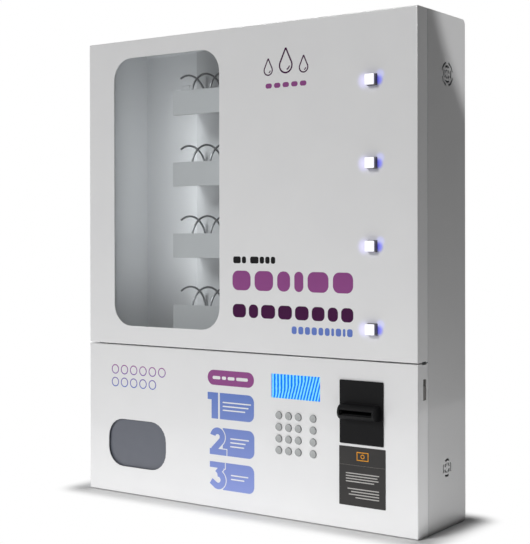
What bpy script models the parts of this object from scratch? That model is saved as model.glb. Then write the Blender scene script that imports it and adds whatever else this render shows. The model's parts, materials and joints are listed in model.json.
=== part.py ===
"""Wall-hung sanitary napkin vending machine with four wire coils, a keypad and a bill acceptor.

Metres, +Z up. X runs to the right as seen from the front, and Y runs to the back.
The origin is the middle of the cabinet's underside.
"""

import math

import bmesh
import bpy
from mathutils import Matrix, Vector

# Overall size and sheet metal
CABINET_WIDTH = 0.700
CABINET_HEIGHT = 0.840
CABINET_DEPTH = 0.168
SHEET = 0.0015
REAR_EDGE_RADIUS = 0.009
FRONT_FLANGE_WIDTH = 0.012

# Clearances, and how far a cutter runs past what it cuts
SEAT_GAP = 0.0003
RUN_GAP = 0.0005
CUT_OVERRUN = 0.004

# Doors
DOOR_DEPTH = 0.034
DOOR_EDGE_RADIUS = 0.002
DOOR_SPLIT_HEIGHT = 0.277
DOOR_SPLIT_GAP = 0.002
DOOR_LIFT = 0.001
DOOR_TO_CABINET_GAP = 0.0008
FINGER_NOTCH_LENGTH = 0.0158
FINGER_NOTCH_HEIGHT = 0.0052
FINGER_NOTCH_SETBACK = 0.0127

# Piano hinge on the left side
HINGE_OFFSET = 0.004
HINGE_BARREL_RADIUS = 0.0034
HINGE_PIN_RADIUS = 0.0015
HINGE_LEAF_WIDTH = 0.028
HINGE_LEAF_THICKNESS = 0.0012
HINGE_END_MARGIN = 0.004
UPPER_KNUCKLES = 5
LOWER_KNUCKLES = 3

# Window in the upper door
WINDOW_LEFT_MARGIN = 0.0627
WINDOW_WIDTH = 0.2466
WINDOW_BOTTOM_MARGIN = 0.0344
WINDOW_TOP_MARGIN = 0.0327
WINDOW_CORNER_RADIUS = 0.040
PANE_THICKNESS = 0.003
PANE_LAP = 0.012
RETAINER_LAP = 0.024
RETAINER_LIP = 0.003

# Selection buttons
SELECT_RIGHT_MARGIN = 0.0822
SELECT_SIZE = 0.018
SELECT_PROUD = 0.010
SELECT_EDGE_RADIUS = 0.0012
SELECT_FLANGE_LAP = 0.003
SELECT_FLANGE_THICKNESS = 0.002
SELECT_TRAVEL = 0.0025
SELECT_DROP_BELOW_TRAY = 0.0212
SWITCH_SIZE = 0.014
STRIP_WIDTH = 0.030
STRIP_END_MARGIN = 0.026
STRIP_SETBACK = 0.018
BOARD_THICKNESS = 0.0016
STANDOFF_RADIUS = 0.003

# Trays, their rack and the wire coils
TRAY_COUNT = 4
FIRST_TRAY_RISE = 0.0726
TOP_TRAY_DROP = 0.0896
TRAY_LEFT_MARGIN = 0.143
TRAY_LIP_HEIGHT = 0.0454
TRAY_HEM_DEPTH = 0.008
TRAY_BACK_HEIGHT = 0.020
TRAY_SHEET = 0.001
RACK_STANDOFF = 0.0194
MOTOR_FLANGE_RIGHT_MARGIN = 0.1185
RACK_TOP_CLEARANCE = 0.006
COIL_RADIUS = 0.0325
COIL_WIRE = 0.004
COIL_PITCH = 0.0424
COIL_SWEEP_GAP = 0.0007
COIL_END_SETBACK = 0.0072
COIL_START_ANGLE = math.radians(-40)
COIL_POINTS_PER_TURN = 10
COIL_TURN_IN_STEPS = 3
COIL_TURN_IN_ANGLE = math.radians(24)
COIL_LEAST_GAP = 0.0004
HUB_RADIUS = 0.018
HUB_THICKNESS = 0.010
HUB_SHAFT_RADIUS = 0.004
HUB_SHAFT_REACH = 0.014
MOTOR_BOX_LENGTH = 0.040
MOTOR_BOX_DEPTH = 0.052
MOTOR_BOX_HEIGHT = 0.048
MOTOR_EDGE_RADIUS = 0.003
MOTOR_CAN_RADIUS = 0.012
MOTOR_CAN_LENGTH = 0.024

# Shelf between the compartments, and the bin under its drop opening
SHELF_FLANGE_HEIGHT = 0.020
SHELF_FRONT_MARGIN = 0.0018
DROP_LEFT_MARGIN = 0.016
DROP_EDGE_MARGIN = 0.005
BIN_LEFT_MARGIN = 0.013
BIN_WIDTH = 0.190
BIN_WALL = 0.0012
BIN_FRONT_REACH = 0.024
BIN_HEADROOM = 0.002
BIN_FLOOR_FRONT_HEIGHT = 0.038
BIN_FLOOR_BACK_HEIGHT = 0.074

# Pick-up opening and its flap
PICKUP_LEFT_MARGIN = 0.0479
PICKUP_WIDTH = 0.1388
PICKUP_BOTTOM_HEIGHT = 0.0505
PICKUP_HEIGHT = 0.088
PICKUP_CORNER_RADIUS = 0.035
FLAP_LAP = 0.004
FLAP_THICKNESS = 0.002
FLAP_LIP_DEPTH = 0.008
FLAP_BARREL_RADIUS = 0.003
FLAP_ROD_RADIUS = 0.0015
FLAP_SHEET_CLEARANCE = 0.0006
FLAP_EAR_THICKNESS = 0.002
FLAP_EAR_GAP = 0.001
FLAP_EAR_SIZE = 0.009
FLAP_STRAP_HEIGHT = 0.012

# Character display
DISPLAY_RIGHT_MARGIN = 0.1822
DISPLAY_WIDTH = 0.0976
DISPLAY_BOTTOM_HEIGHT = 0.2043
DISPLAY_HEIGHT = 0.0404
DISPLAY_LAP = 0.004
DISPLAY_BODY_DEPTH = 0.005
DISPLAY_BOARD_LAP = 0.006

# Keypad
KEY_RIGHT_MARGIN = 0.1956
KEY_TOP_HEIGHT = 0.175
KEY_PITCH = 0.0197
LETTER_KEY_STEP = 0.0296
KEY_RADIUS = 0.00625
KEY_PROUD = 0.0023
KEY_FLANGE_LAP = 0.0014
KEY_FLANGE_THICKNESS = 0.0012
KEY_TRAVEL = 0.0015
KEY_SIDES = 16
KEY_NAMES = (
    ("key_1", "key_2", "key_3", "key_a"),
    ("key_4", "key_5", "key_6", "key_b"),
    ("key_7", "key_8", "key_9", "key_c"),
    ("key_star", "key_0", "key_hash", "key_d"),
)
KEYPAD_BOARD_MARGIN = 0.012

# Bill acceptor
BILL_PLATE_RIGHT_MARGIN = 0.0614
BILL_PLATE_WIDTH = 0.0816
BILL_PLATE_BOTTOM_HEIGHT = 0.141
BILL_PLATE_HEIGHT = 0.1033
BILL_PLATE_THICKNESS = 0.002
BILL_PLATE_CORNER_RADIUS = 0.0015
NOSE_WIDTH = 0.068
NOSE_HEIGHT = 0.0255
NOSE_PROUD = 0.022
NOSE_MIDDLE_HEIGHT = 0.1938
NOSE_ARC_STEPS = 10
GROOVE_HEIGHT = 0.009
GROOVE_DEPTH = 0.006
BILL_SLOT_WIDTH = 0.058
BILL_SLOT_HEIGHT = 0.0056
SPOUT_WALL = 0.0024
VALIDATOR_WIDTH = 0.066
VALIDATOR_HEAD_DROP = 0.035
VALIDATOR_HEADROOM = 0.0107
VALIDATOR_HEAD_DEPTH = 0.052
STACKER_HEIGHT = 0.105
STACKER_DEPTH = 0.034
VALIDATOR_THROAT_DEPTH = 0.030
VALIDATOR_EDGE_RADIUS = 0.002

# Latch in the lower door's right side
LATCH_SLOT_SETBACK = 0.0174
LATCH_SLOT_WIDTH = 0.0107
LATCH_SLOT_BOTTOM_HEIGHT = 0.218
LATCH_SLOT_HEIGHT = 0.0334
LATCH_TRAVEL = 0.010
LATCH_LAP = 0.002
LATCH_PLATE_THICKNESS = 0.002
LATCH_RECESS = 0.0004
LATCH_CASE_WALL = 0.002
LATCH_CASE_DEPTH = 0.012

# Vents in the right side, as rings of four arc slots
VENT_ARC_SHARE = 0.70
VENT_ARC_STEPS = 4
VENT_SLOT_WIDTH = 0.0034
VENT_RING_STEP = 0.0060
UPPER_VENT_RADIUS = 0.02025
UPPER_VENT_RINGS = 3
UPPER_VENT_SETBACK = 0.1026
UPPER_VENT_TOP_DROP = 0.0974
LOWER_VENT_RADIUS = 0.0150
LOWER_VENT_RINGS = 2
LOWER_VENT_SETBACK = 0.1001
LOWER_VENT_HEIGHT = 0.0993

# Wall fixing in the back
KEYHOLE_SIDE_MARGIN = 0.100
KEYHOLE_END_MARGIN = 0.090
KEYHOLE_HEAD_RADIUS = 0.007
KEYHOLE_NECK_WIDTH = 0.007
KEYHOLE_NECK_LENGTH = 0.016
CABLE_HOLE_RADIUS = 0.012
CABLE_HOLE_RIGHT_MARGIN = 0.070
CABLE_HOLE_HEIGHT = 0.030

# Electronics in the lower compartment
SUPPLY_WIDTH = 0.159
SUPPLY_DEPTH = 0.090
SUPPLY_HEIGHT = 0.042
SUPPLY_RIGHT_MARGIN = 0.150
SUPPLY_BACK_CLEARANCE = 0.012
SUPPLY_TERMINAL_LENGTH = 0.010
SUPPLY_TERMINAL_HEIGHT = 0.018
CONTROL_WIDTH = 0.160
CONTROL_HEIGHT = 0.110
CONTROL_LEFT_MARGIN = 0.235
CONTROL_BOTTOM_HEIGHT = 0.100
CONTROL_STANDOFF = 0.008
CONTROL_STANDOFF_INSET = 0.008
RELAY_COUNT = 4
RELAY_WIDTH = 0.016
RELAY_DEPTH = 0.015
RELAY_HEIGHT = 0.020

# Facets
ROUND_SIDES = 16
SMALL_ROUND_SIDES = 12
CORNER_STEPS = 6
SMOOTH_ANGLE = math.radians(40)

# Places worked out from the sizes
LEFT = -CABINET_WIDTH / 2
RIGHT = CABINET_WIDTH / 2
FRONT = -CABINET_DEPTH / 2
BACK = CABINET_DEPTH / 2
SEAM = FRONT + DOOR_DEPTH
INNER_LEFT = LEFT + SHEET
INNER_RIGHT = RIGHT - SHEET
INNER_BACK = BACK - SHEET
INNER_TOP = CABINET_HEIGHT - SHEET
DOOR_INSIDE = FRONT + SHEET
DOOR_SEAT = DOOR_INSIDE + SEAT_GAP
UPPER_DOOR_BOTTOM = DOOR_SPLIT_HEIGHT + DOOR_SPLIT_GAP / 2
LOWER_DOOR_TOP = DOOR_SPLIT_HEIGHT - DOOR_SPLIT_GAP / 2
SHELF_TOP = DOOR_SPLIT_HEIGHT
RACK_FACE = INNER_BACK - RACK_STANDOFF
COIL_REACH = COIL_RADIUS + COIL_WIRE / 2
TRAY_HALF_DEPTH = COIL_REACH + COIL_SWEEP_GAP + TRAY_SHEET
TRAY_FLOOR_DROP = COIL_REACH + COIL_SWEEP_GAP + TRAY_SHEET
COIL_AXIS_Y = RACK_FACE - SEAT_GAP - TRAY_HALF_DEPTH
TRAY_LEFT = LEFT + TRAY_LEFT_MARGIN
MOTOR_FLANGE_LEFT = RIGHT - MOTOR_FLANGE_RIGHT_MARGIN
MOTOR_SEAT = MOTOR_FLANGE_LEFT + SHEET + SEAT_GAP
FIRST_TRAY_TOP = SHELF_TOP + FIRST_TRAY_RISE
ROW_PITCH = (CABINET_HEIGHT - TOP_TRAY_DROP - FIRST_TRAY_TOP) / (TRAY_COUNT - 1)
TRAY_TOPS = [FIRST_TRAY_TOP + row * ROW_PITCH for row in reversed(range(TRAY_COUNT))]
SELECT_X = RIGHT - SELECT_RIGHT_MARGIN
SELECT_HEIGHTS = [top - SELECT_DROP_BELOW_TRAY for top in TRAY_TOPS]
HINGE_AXIS = Vector((LEFT - HINGE_OFFSET, SEAM, 0))
FLAP_AXIS_Y = DOOR_INSIDE + FLAP_SHEET_CLEARANCE + FLAP_BARREL_RADIUS
FLAP_AXIS_HEIGHT = PICKUP_BOTTOM_HEIGHT + PICKUP_HEIGHT + FLAP_LAP + FLAP_BARREL_RADIUS
BILL_X = RIGHT - BILL_PLATE_RIGHT_MARGIN - BILL_PLATE_WIDTH / 2

# Directions for outlines and round pieces
DIRECTION = {"X": Vector((1, 0, 0)), "Y": Vector((0, 1, 0)), "Z": Vector((0, 0, 1))}
# An outline's two coordinates are (Y, Z) across X, (X, Z) across Y and (X, Y) across Z.
FACING = {
    "X": Matrix(((0, 0, 1), (1, 0, 0), (0, 1, 0))).to_4x4(),
    "Y": Matrix.Rotation(math.radians(90), 4, "X"),
    "Z": Matrix.Identity(4),
}


def clear_scene():
    for leftover in list(bpy.data.objects):
        bpy.data.objects.remove(leftover, do_unlink=True)


def new_collection(name):
    collection = bpy.data.collections.new(name)
    bpy.context.scene.collection.children.link(collection)
    return collection


def new_material(name, color, roughness, metallic=0.0, alpha=1.0):
    finish = bpy.data.materials.new(name)
    finish.use_nodes = True
    shader = finish.node_tree.nodes["Principled BSDF"]
    shader.inputs["Base Color"].default_value = (*color, 1.0)
    shader.inputs["Roughness"].default_value = roughness
    shader.inputs["Metallic"].default_value = metallic
    shader.inputs["Alpha"].default_value = alpha
    finish.diffuse_color = (*color, alpha)
    return finish


clear_scene()
PARTS = new_collection("sanitary_napkin_vending_machine")
CUTTERS = new_collection("cutters")
CUTTERS.hide_render = True

WHITE_PAINT = new_material("white_powder_coat", (0.80, 0.80, 0.81), 0.35)
GREY_PAINT = new_material("grey_powder_coat", (0.52, 0.53, 0.54), 0.4)
BRIGHT_STEEL = new_material("bright_steel", (0.55, 0.55, 0.56), 0.3, 1.0)
COIL_STEEL = new_material("coil_steel", (0.34, 0.34, 0.35), 0.32, 1.0)
ACRYLIC = new_material("clear_acrylic", (0.85, 0.88, 0.90), 0.05, alpha=0.25)
LIT_PLASTIC = new_material("lit_button_plastic", (0.90, 0.90, 0.97), 0.3)
KEY_PLASTIC = new_material("key_plastic", (0.36, 0.37, 0.37), 0.35)
BLACK_PLASTIC = new_material("black_plastic", (0.011, 0.011, 0.012), 0.35)
DISPLAY_GLASS = new_material("display_glass", (0.01, 0.24, 0.85), 0.15)
BOARD_GREEN = new_material("board_green", (0.02, 0.16, 0.07), 0.5)
FLAP_PLASTIC = new_material("flap_plastic", (0.14, 0.15, 0.18), 0.4)
HUB_PLASTIC = new_material("hub_plastic", (0.70, 0.70, 0.68), 0.45)


def tidy_mesh(mesh):
    """Welds the mesh, turns its faces outwards and shades its round faces smooth."""
    shape = bmesh.new()
    shape.from_mesh(mesh)
    bmesh.ops.remove_doubles(shape, verts=shape.verts, dist=1e-6)
    bmesh.ops.recalc_face_normals(shape, faces=shape.faces)
    shape.to_mesh(mesh)
    shape.free()
    mesh.shade_smooth()
    mesh.set_sharp_from_angle(angle=SMOOTH_ANGLE)


def helper(name, mesh):
    """A mesh object in the cutters' collection, until piece() makes it a sub-part."""
    made = bpy.data.objects.new(name, mesh)
    made.hide_render = True
    made.display_type = "WIRE"
    CUTTERS.objects.link(made)
    return made


def box(name, low, high, edge_radius=0.0, edges="all"):
    """A box between two corners. edges is "all", or "front" for the four round the front face."""
    low, high = Vector(low), Vector(high)
    shape = bmesh.new()
    scale = Matrix.Diagonal((*(high - low), 1))
    bmesh.ops.create_cube(shape, size=1, matrix=Matrix.Translation((low + high) / 2) @ scale)
    if edge_radius:
        middle = (low.y + high.y) / 2
        rounded = [
            edge
            for edge in shape.edges
            if edges == "all" or max(vertex.co.y for vertex in edge.verts) < middle
        ]
        bmesh.ops.bevel(
            shape, geom=rounded, offset=edge_radius, segments=2, profile=0.5, affect="EDGES", material=-1
        )
    mesh = bpy.data.meshes.new(name)
    shape.to_mesh(mesh)
    shape.free()
    tidy_mesh(mesh)
    return helper(name, mesh)


def drum(name, middle, radius, low, high, axis, sides=ROUND_SIDES):
    """A cylinder along an axis, from low to high. middle gives its centre line."""
    along = DIRECTION[axis]
    across = Vector(middle) - along * along.dot(Vector(middle))
    shape = bmesh.new()
    place = Matrix.Translation(across + along * (low + high) / 2) @ FACING[axis]
    bmesh.ops.create_cone(
        shape,
        cap_ends=True,
        segments=sides,
        radius1=radius,
        radius2=radius,
        depth=high - low,
        matrix=place,
    )
    mesh = bpy.data.meshes.new(name)
    shape.to_mesh(mesh)
    shape.free()
    tidy_mesh(mesh)
    return helper(name, mesh)


def slab(name, outline, low, high, axis):
    """A flat outline given its thickness along an axis, from low to high."""
    curve = bpy.data.curves.new(name, "CURVE")
    curve.dimensions = "2D"
    curve.fill_mode = "BOTH"
    curve.extrude = (high - low) / 2
    spline = curve.splines.new("POLY")
    spline.points.add(len(outline) - 1)
    for point, (across, up) in zip(spline.points, outline):
        point.co = (across, up, 0, 1)
    spline.use_cyclic_u = True
    guide = bpy.data.objects.new(name, curve)
    CUTTERS.objects.link(guide)
    graph = bpy.context.evaluated_depsgraph_get()
    mesh = bpy.data.meshes.new_from_object(guide.evaluated_get(graph))
    mesh.transform(Matrix.Translation(DIRECTION[axis] * (low + high) / 2) @ FACING[axis])
    bpy.data.objects.remove(guide)
    bpy.data.curves.remove(curve)
    mesh.name = name
    tidy_mesh(mesh)
    return helper(name, mesh)


def gathered(name, members):
    """Several helpers that don't touch, made one."""
    shape = bmesh.new()
    for member in members:
        shape.from_mesh(member.data)
        bpy.data.objects.remove(member)
    mesh = bpy.data.meshes.new(name)
    shape.to_mesh(mesh)
    shape.free()
    return helper(name, mesh)


def arc(middle, radius, start, end, steps):
    """Points along a circular arc, both ends included."""
    angles = [start + (end - start) * step / steps for step in range(steps + 1)]
    return [(middle[0] + radius * math.cos(angle), middle[1] + radius * math.sin(angle)) for angle in angles]


def rounded_outline(low, high, radius, steps=CORNER_STEPS, corners=(0, 1, 2, 3)):
    """A rectangle's outline, anticlockwise from its lower left corner, with the named corners rounded."""
    middles = [
        (low[0] + radius, low[1] + radius),
        (high[0] - radius, low[1] + radius),
        (high[0] - radius, high[1] - radius),
        (low[0] + radius, high[1] - radius),
    ]
    sharp = [(low[0], low[1]), (high[0], low[1]), (high[0], high[1]), (low[0], high[1])]
    outline = []
    for corner in range(4):
        start = math.pi + corner * math.pi / 2
        if corner in corners:
            outline += arc(middles[corner], radius, start, start + math.pi / 2, steps)
        else:
            outline.append(sharp[corner])
    return outline


def folded_outline(path, thickness):
    """The outline of a folded sheet: the path, and the same path moved to its left by the thickness."""
    points = [Vector(point) for point in path]
    lefts = []
    for start, end in zip(points, points[1:]):
        run = (end - start).normalized()
        lefts.append(Vector((-run.y, run.x)))
    inner = []
    for place, point in enumerate(points):
        before = lefts[max(place - 1, 0)]
        after = lefts[min(place, len(lefts) - 1)]
        mitre = (before + after) / (1 + before.dot(after))
        inner.append(point + mitre * thickness)
    return [tuple(point) for point in points + inner[::-1]]


def carrier(name, place, parent=None):
    """An empty on a joint's axis, which carries what moves with the joint."""
    empty = bpy.data.objects.new(name, None)
    empty.location = Vector(place) - place_of(parent)
    empty.parent = parent
    PARTS.objects.link(empty)
    return empty


def place_of(empty):
    return empty.location + place_of(empty.parent) if empty else Vector()


def piece(name, base, finish, carried_by=None, origin=None, joined=(), cut=()):
    """Makes a helper a named sub-part, with others joined to it and then cut from it."""
    corners = [Vector(corner) for corner in base.bound_box]
    origin = Vector(origin) if origin else (corners[0] + corners[6]) / 2
    base.data.transform(Matrix.Translation(-origin))
    base.name = base.data.name = name
    base.location = origin - place_of(carried_by)
    base.parent = carried_by
    base.data.materials.append(finish)
    CUTTERS.objects.unlink(base)
    PARTS.objects.link(base)
    base.hide_render = False
    base.display_type = "TEXTURED"
    steps = [(other, "UNION") for other in joined] + [(other, "DIFFERENCE") for other in cut]
    for other, operation in steps:
        modifier = base.modifiers.new(other.name, "BOOLEAN")
        modifier.operation = operation
        modifier.solver = "EXACT"
        modifier.object = other
    return base


def vent(name, setback, height, radius, rings):
    """Rings of four arc slots through the right side, each ring turned an eighth from the last.

    The innermost ring's slots always face the four slanting ways.
    """
    middle = (FRONT + setback, height)
    slots = []
    for ring in range(rings):
        outer = radius - ring * VENT_RING_STEP
        inner = outer - VENT_SLOT_WIDTH
        half_arc = VENT_ARC_SHARE * math.pi / 4
        for quarter in range(4):
            facing = quarter * math.pi / 2 + ((rings - ring) % 2) * math.pi / 4
            outline = arc(middle, outer, facing - half_arc, facing + half_arc, VENT_ARC_STEPS)
            outline += arc(middle, inner, facing + half_arc, facing - half_arc, VENT_ARC_STEPS)
            slots.append(
                slab(name, outline, INNER_RIGHT - CUT_OVERRUN, RIGHT + CUT_OVERRUN, "X")
            )
    return gathered(name, slots)


def keyhole(across, height):
    """A keyhole through the back: a round head with a narrower neck above it."""
    turn = math.asin(KEYHOLE_NECK_WIDTH / 2 / KEYHOLE_HEAD_RADIUS)
    up = math.pi / 2
    outline = arc((across, height), KEYHOLE_HEAD_RADIUS, up + turn, up + 2 * math.pi - turn, ROUND_SIDES)
    neck_top = (across, height + KEYHOLE_NECK_LENGTH)
    outline += arc(neck_top, KEYHOLE_NECK_WIDTH / 2, 0, math.pi, CORNER_STEPS)
    return slab("keyhole", outline, INNER_BACK - CUT_OVERRUN, BACK + CUT_OVERRUN, "Y")


def build_cabinet():
    def profile(inset, front):
        radius = REAR_EDGE_RADIUS - inset
        low, high = (front, inset), (BACK - inset, CABINET_HEIGHT - inset)
        return rounded_outline(low, high, radius, corners=(1, 2))

    shell = slab("cabinet_shell", profile(0, SEAM), LEFT, RIGHT, "X")
    hollow = slab("cabinet_hollow", profile(SHEET, SEAM + SHEET), INNER_LEFT, INNER_RIGHT, "X")
    mouth = box(
        "cabinet_mouth",
        (LEFT + FRONT_FLANGE_WIDTH, SEAM - CUT_OVERRUN, FRONT_FLANGE_WIDTH),
        (RIGHT - FRONT_FLANGE_WIDTH, SEAM + SHEET + CUT_OVERRUN, CABINET_HEIGHT - FRONT_FLANGE_WIDTH),
    )
    upper_vent = vent(
        "upper_vent_cutter",
        UPPER_VENT_SETBACK,
        CABINET_HEIGHT - UPPER_VENT_TOP_DROP,
        UPPER_VENT_RADIUS,
        UPPER_VENT_RINGS,
    )
    lower_vent = vent(
        "lower_vent_cutter", LOWER_VENT_SETBACK, LOWER_VENT_HEIGHT, LOWER_VENT_RADIUS, LOWER_VENT_RINGS
    )
    back_holes = [
        keyhole(across, height)
        for across in (LEFT + KEYHOLE_SIDE_MARGIN, RIGHT - KEYHOLE_SIDE_MARGIN)
        for height in (KEYHOLE_END_MARGIN, CABINET_HEIGHT - KEYHOLE_END_MARGIN)
    ]
    cable_place = (RIGHT - CABLE_HOLE_RIGHT_MARGIN, 0, CABLE_HOLE_HEIGHT)
    hole_ends = (INNER_BACK - CUT_OVERRUN, BACK + CUT_OVERRUN)
    back_holes.append(drum("cable_hole", cable_place, CABLE_HOLE_RADIUS, *hole_ends, "Y"))
    back_cutter = gathered("back_hole_cutter", back_holes)
    piece(
        "cabinet_shell", shell, WHITE_PAINT, cut=(hollow, mouth, upper_vent, lower_vent, back_cutter)
    )


def build_middle_shelf():
    low = Vector((INNER_LEFT + SEAT_GAP, SEAM + SHELF_FRONT_MARGIN, SHELF_TOP - SHELF_FLANGE_HEIGHT))
    high = Vector((INNER_RIGHT - SEAT_GAP, INNER_BACK - SEAT_GAP, SHELF_TOP))
    wall = Vector((SHEET, SHEET, 0))
    under = box(
        "shelf_underside", low + wall - Vector((0, 0, CUT_OVERRUN)), high - wall - Vector((0, 0, SHEET))
    )
    drop = box(
        "drop_cutter",
        (LEFT + DROP_LEFT_MARGIN, low.y + DROP_EDGE_MARGIN, low.z - CUT_OVERRUN),
        (TRAY_LEFT - DROP_EDGE_MARGIN / 2, high.y - DROP_EDGE_MARGIN, high.z + CUT_OVERRUN),
    )
    piece("middle_shelf", box("middle_shelf", low, high), WHITE_PAINT, cut=(under, drop))


def build_rack():
    rear = INNER_BACK - SEAT_GAP
    tray_front = COIL_AXIS_Y - TRAY_HALF_DEPTH
    path = [
        (TRAY_LEFT, rear),
        (TRAY_LEFT, RACK_FACE),
        (MOTOR_FLANGE_LEFT, RACK_FACE),
        (MOTOR_FLANGE_LEFT, tray_front),
    ]
    # The path's left is the machine's right side at the return, its back at the plate and its right at the flange.
    bottom, top = SHELF_TOP + SEAT_GAP, INNER_TOP - RACK_TOP_CLEARANCE
    frame = slab("rack_frame", folded_outline(path, SHEET), bottom, top, "Z")
    flange = (MOTOR_FLANGE_LEFT - CUT_OVERRUN, MOTOR_FLANGE_LEFT + SHEET + CUT_OVERRUN)
    holes = [
        drum("shaft_hole", (0, COIL_AXIS_Y, top), HUB_SHAFT_RADIUS + RUN_GAP, *flange, "X", SMALL_ROUND_SIDES)
        for top in TRAY_TOPS
    ]
    piece("rack_frame", frame, GREY_PAINT, cut=(gathered("shaft_hole_cutter", holes),))


def build_tray(number, top):
    front, rear = COIL_AXIS_Y - TRAY_HALF_DEPTH, COIL_AXIS_Y + TRAY_HALF_DEPTH
    floor = top - TRAY_FLOOR_DROP
    lip_bottom = top - TRAY_LIP_HEIGHT
    path = [
        (front, top),
        (front, lip_bottom),
        (front + TRAY_HEM_DEPTH, lip_bottom),
        (front + TRAY_HEM_DEPTH, floor),
        (rear, floor),
        (rear, floor + TRAY_BACK_HEIGHT),
    ]
    name = f"shelf_tray_{number}"
    tray = slab(
        name, folded_outline(path, TRAY_SHEET), TRAY_LEFT, MOTOR_FLANGE_LEFT - SEAT_GAP, "X"
    )
    piece(name, tray, GREY_PAINT)


def coil_points(hub_middle):
    """The wire's centre line about the coil's axis: a helix that turns in to meet the hub's rim square on."""
    start = TRAY_LEFT + COIL_END_SETBACK
    turns = (hub_middle - start) / COIL_PITCH
    steps = round(turns * COIL_POINTS_PER_TURN)
    points = []
    for step in range(steps + 1):
        angle = COIL_START_ANGLE + 2 * math.pi * turns * step / steps
        along = (hub_middle - start) * (step / steps - 1)
        points.append((along, COIL_RADIUS * math.sin(angle), COIL_RADIUS * math.cos(angle)))
    rim = HUB_RADIUS + SEAT_GAP
    straight = rim + COIL_WIRE
    last = COIL_START_ANGLE + 2 * math.pi * turns
    for step in range(1, COIL_TURN_IN_STEPS + 1):
        share = step / COIL_TURN_IN_STEPS
        angle = last + COIL_TURN_IN_ANGLE * share
        radius = COIL_RADIUS + (straight - COIL_RADIUS) * share
        points.append((0, radius * math.sin(angle), radius * math.cos(angle)))
    points.append((0, rim * math.sin(angle), rim * math.cos(angle)))
    return points


def least_gap(points):
    """The least distance between the tube's surfaces half a turn or more apart."""
    apart = COIL_POINTS_PER_TURN // 2
    gaps = [
        (Vector(first) - Vector(second)).length - COIL_WIRE
        for place, first in enumerate(points)
        for second in points[place + apart :]
    ]
    return min(gaps)


def build_coil(number, top, spinner):
    hub_right = MOTOR_FLANGE_LEFT - SEAT_GAP
    hub_left = hub_right - HUB_THICKNESS
    hub_middle = (hub_left + hub_right) / 2
    points = coil_points(hub_middle)
    gap = least_gap(points)
    print(f"coil_{number}: least gap to itself {gap * 1000:.2f} mm, wanted over {COIL_LEAST_GAP * 1000:.1f}")
    curve = bpy.data.curves.new(f"coil_{number}", "CURVE")
    curve.dimensions = "3D"
    curve.bevel_depth = COIL_WIRE / 2
    curve.bevel_resolution = 1
    curve.use_fill_caps = True
    spline = curve.splines.new("POLY")
    spline.points.add(len(points) - 1)
    for point, place in zip(spline.points, points):
        point.co = (*place, 1)
    spline.use_smooth = True
    curve.materials.append(COIL_STEEL)
    coil = bpy.data.objects.new(f"coil_{number}", curve)
    coil.location = Vector((hub_middle, COIL_AXIS_Y, top)) - place_of(spinner)
    coil.parent = spinner
    PARTS.objects.link(coil)

    middle = (0, COIL_AXIS_Y, top)
    name = f"coil_hub_{number}"
    disc = drum(name, middle, HUB_RADIUS, hub_left, hub_right, "X", 2 * ROUND_SIDES)
    shaft_end = hub_right + SHEET + HUB_SHAFT_REACH
    shaft = drum("hub_shaft", middle, HUB_SHAFT_RADIUS, hub_middle, shaft_end, "X", SMALL_ROUND_SIDES)
    piece(name, disc, HUB_PLASTIC, spinner, (hub_middle, COIL_AXIS_Y, top), joined=(shaft,))


def build_motor(number, top):
    """A gear motor on the rack's flange, with a blind bore that the hub's shaft turns in."""
    name = f"coil_motor_{number}"
    half = Vector((0, MOTOR_BOX_DEPTH / 2, MOTOR_BOX_HEIGHT / 2))
    middle = Vector((MOTOR_SEAT, COIL_AXIS_Y, top))
    box_right = MOTOR_SEAT + MOTOR_BOX_LENGTH
    gearbox = box(name, middle - half, middle + half + Vector((MOTOR_BOX_LENGTH, 0, 0)), MOTOR_EDGE_RADIUS)
    can = drum(
        "motor_can",
        middle,
        MOTOR_CAN_RADIUS,
        box_right - MOTOR_EDGE_RADIUS,
        box_right + MOTOR_CAN_LENGTH,
        "X",
        SMALL_ROUND_SIDES,
    )
    bore_end = MOTOR_SEAT + HUB_SHAFT_REACH + RUN_GAP
    bore = drum(
        "motor_bore",
        middle,
        HUB_SHAFT_RADIUS + RUN_GAP,
        MOTOR_SEAT - CUT_OVERRUN,
        bore_end,
        "X",
        SMALL_ROUND_SIDES,
    )
    piece(name, gearbox, BLACK_PLASTIC, joined=(can,), cut=(bore,))


def build_pickup_bin():
    """A sheet bin under the drop opening, whose sloped floor brings a packet to the pick-up opening."""
    low = Vector((LEFT + BIN_LEFT_MARGIN, SEAM - BIN_FRONT_REACH, SHEET + SEAT_GAP))
    top = SHELF_TOP - SHELF_FLANGE_HEIGHT - BIN_HEADROOM
    high = Vector((low.x + BIN_WIDTH, INNER_BACK - REAR_EDGE_RADIUS, top))
    rear = high.y - BIN_WALL
    walls = (low.x + BIN_WALL, high.x - BIN_WALL)
    front = low.y - CUT_OVERRUN
    room = [
        (front, BIN_FLOOR_FRONT_HEIGHT),
        (rear, BIN_FLOOR_BACK_HEIGHT),
        (rear, top + CUT_OVERRUN),
        (front, top + CUT_OVERRUN),
    ]
    under = [
        (front, low.z - CUT_OVERRUN),
        (rear, low.z - CUT_OVERRUN),
        (rear, BIN_FLOOR_BACK_HEIGHT - BIN_WALL),
        (front, BIN_FLOOR_FRONT_HEIGHT - BIN_WALL),
    ]
    over_flange = box(
        "bin_flange_notch",
        (low.x - CUT_OVERRUN, front, low.z - CUT_OVERRUN),
        (high.x + CUT_OVERRUN, SEAM + SHEET + SEAT_GAP, FRONT_FLANGE_WIDTH + SEAT_GAP),
    )
    room_cutter, under_cutter = slab("bin_room", room, *walls, "X"), slab("bin_underside", under, *walls, "X")
    base = box("pickup_bin", low, high)
    piece("pickup_bin", base, GREY_PAINT, cut=(room_cutter, under_cutter, over_flange))


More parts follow.
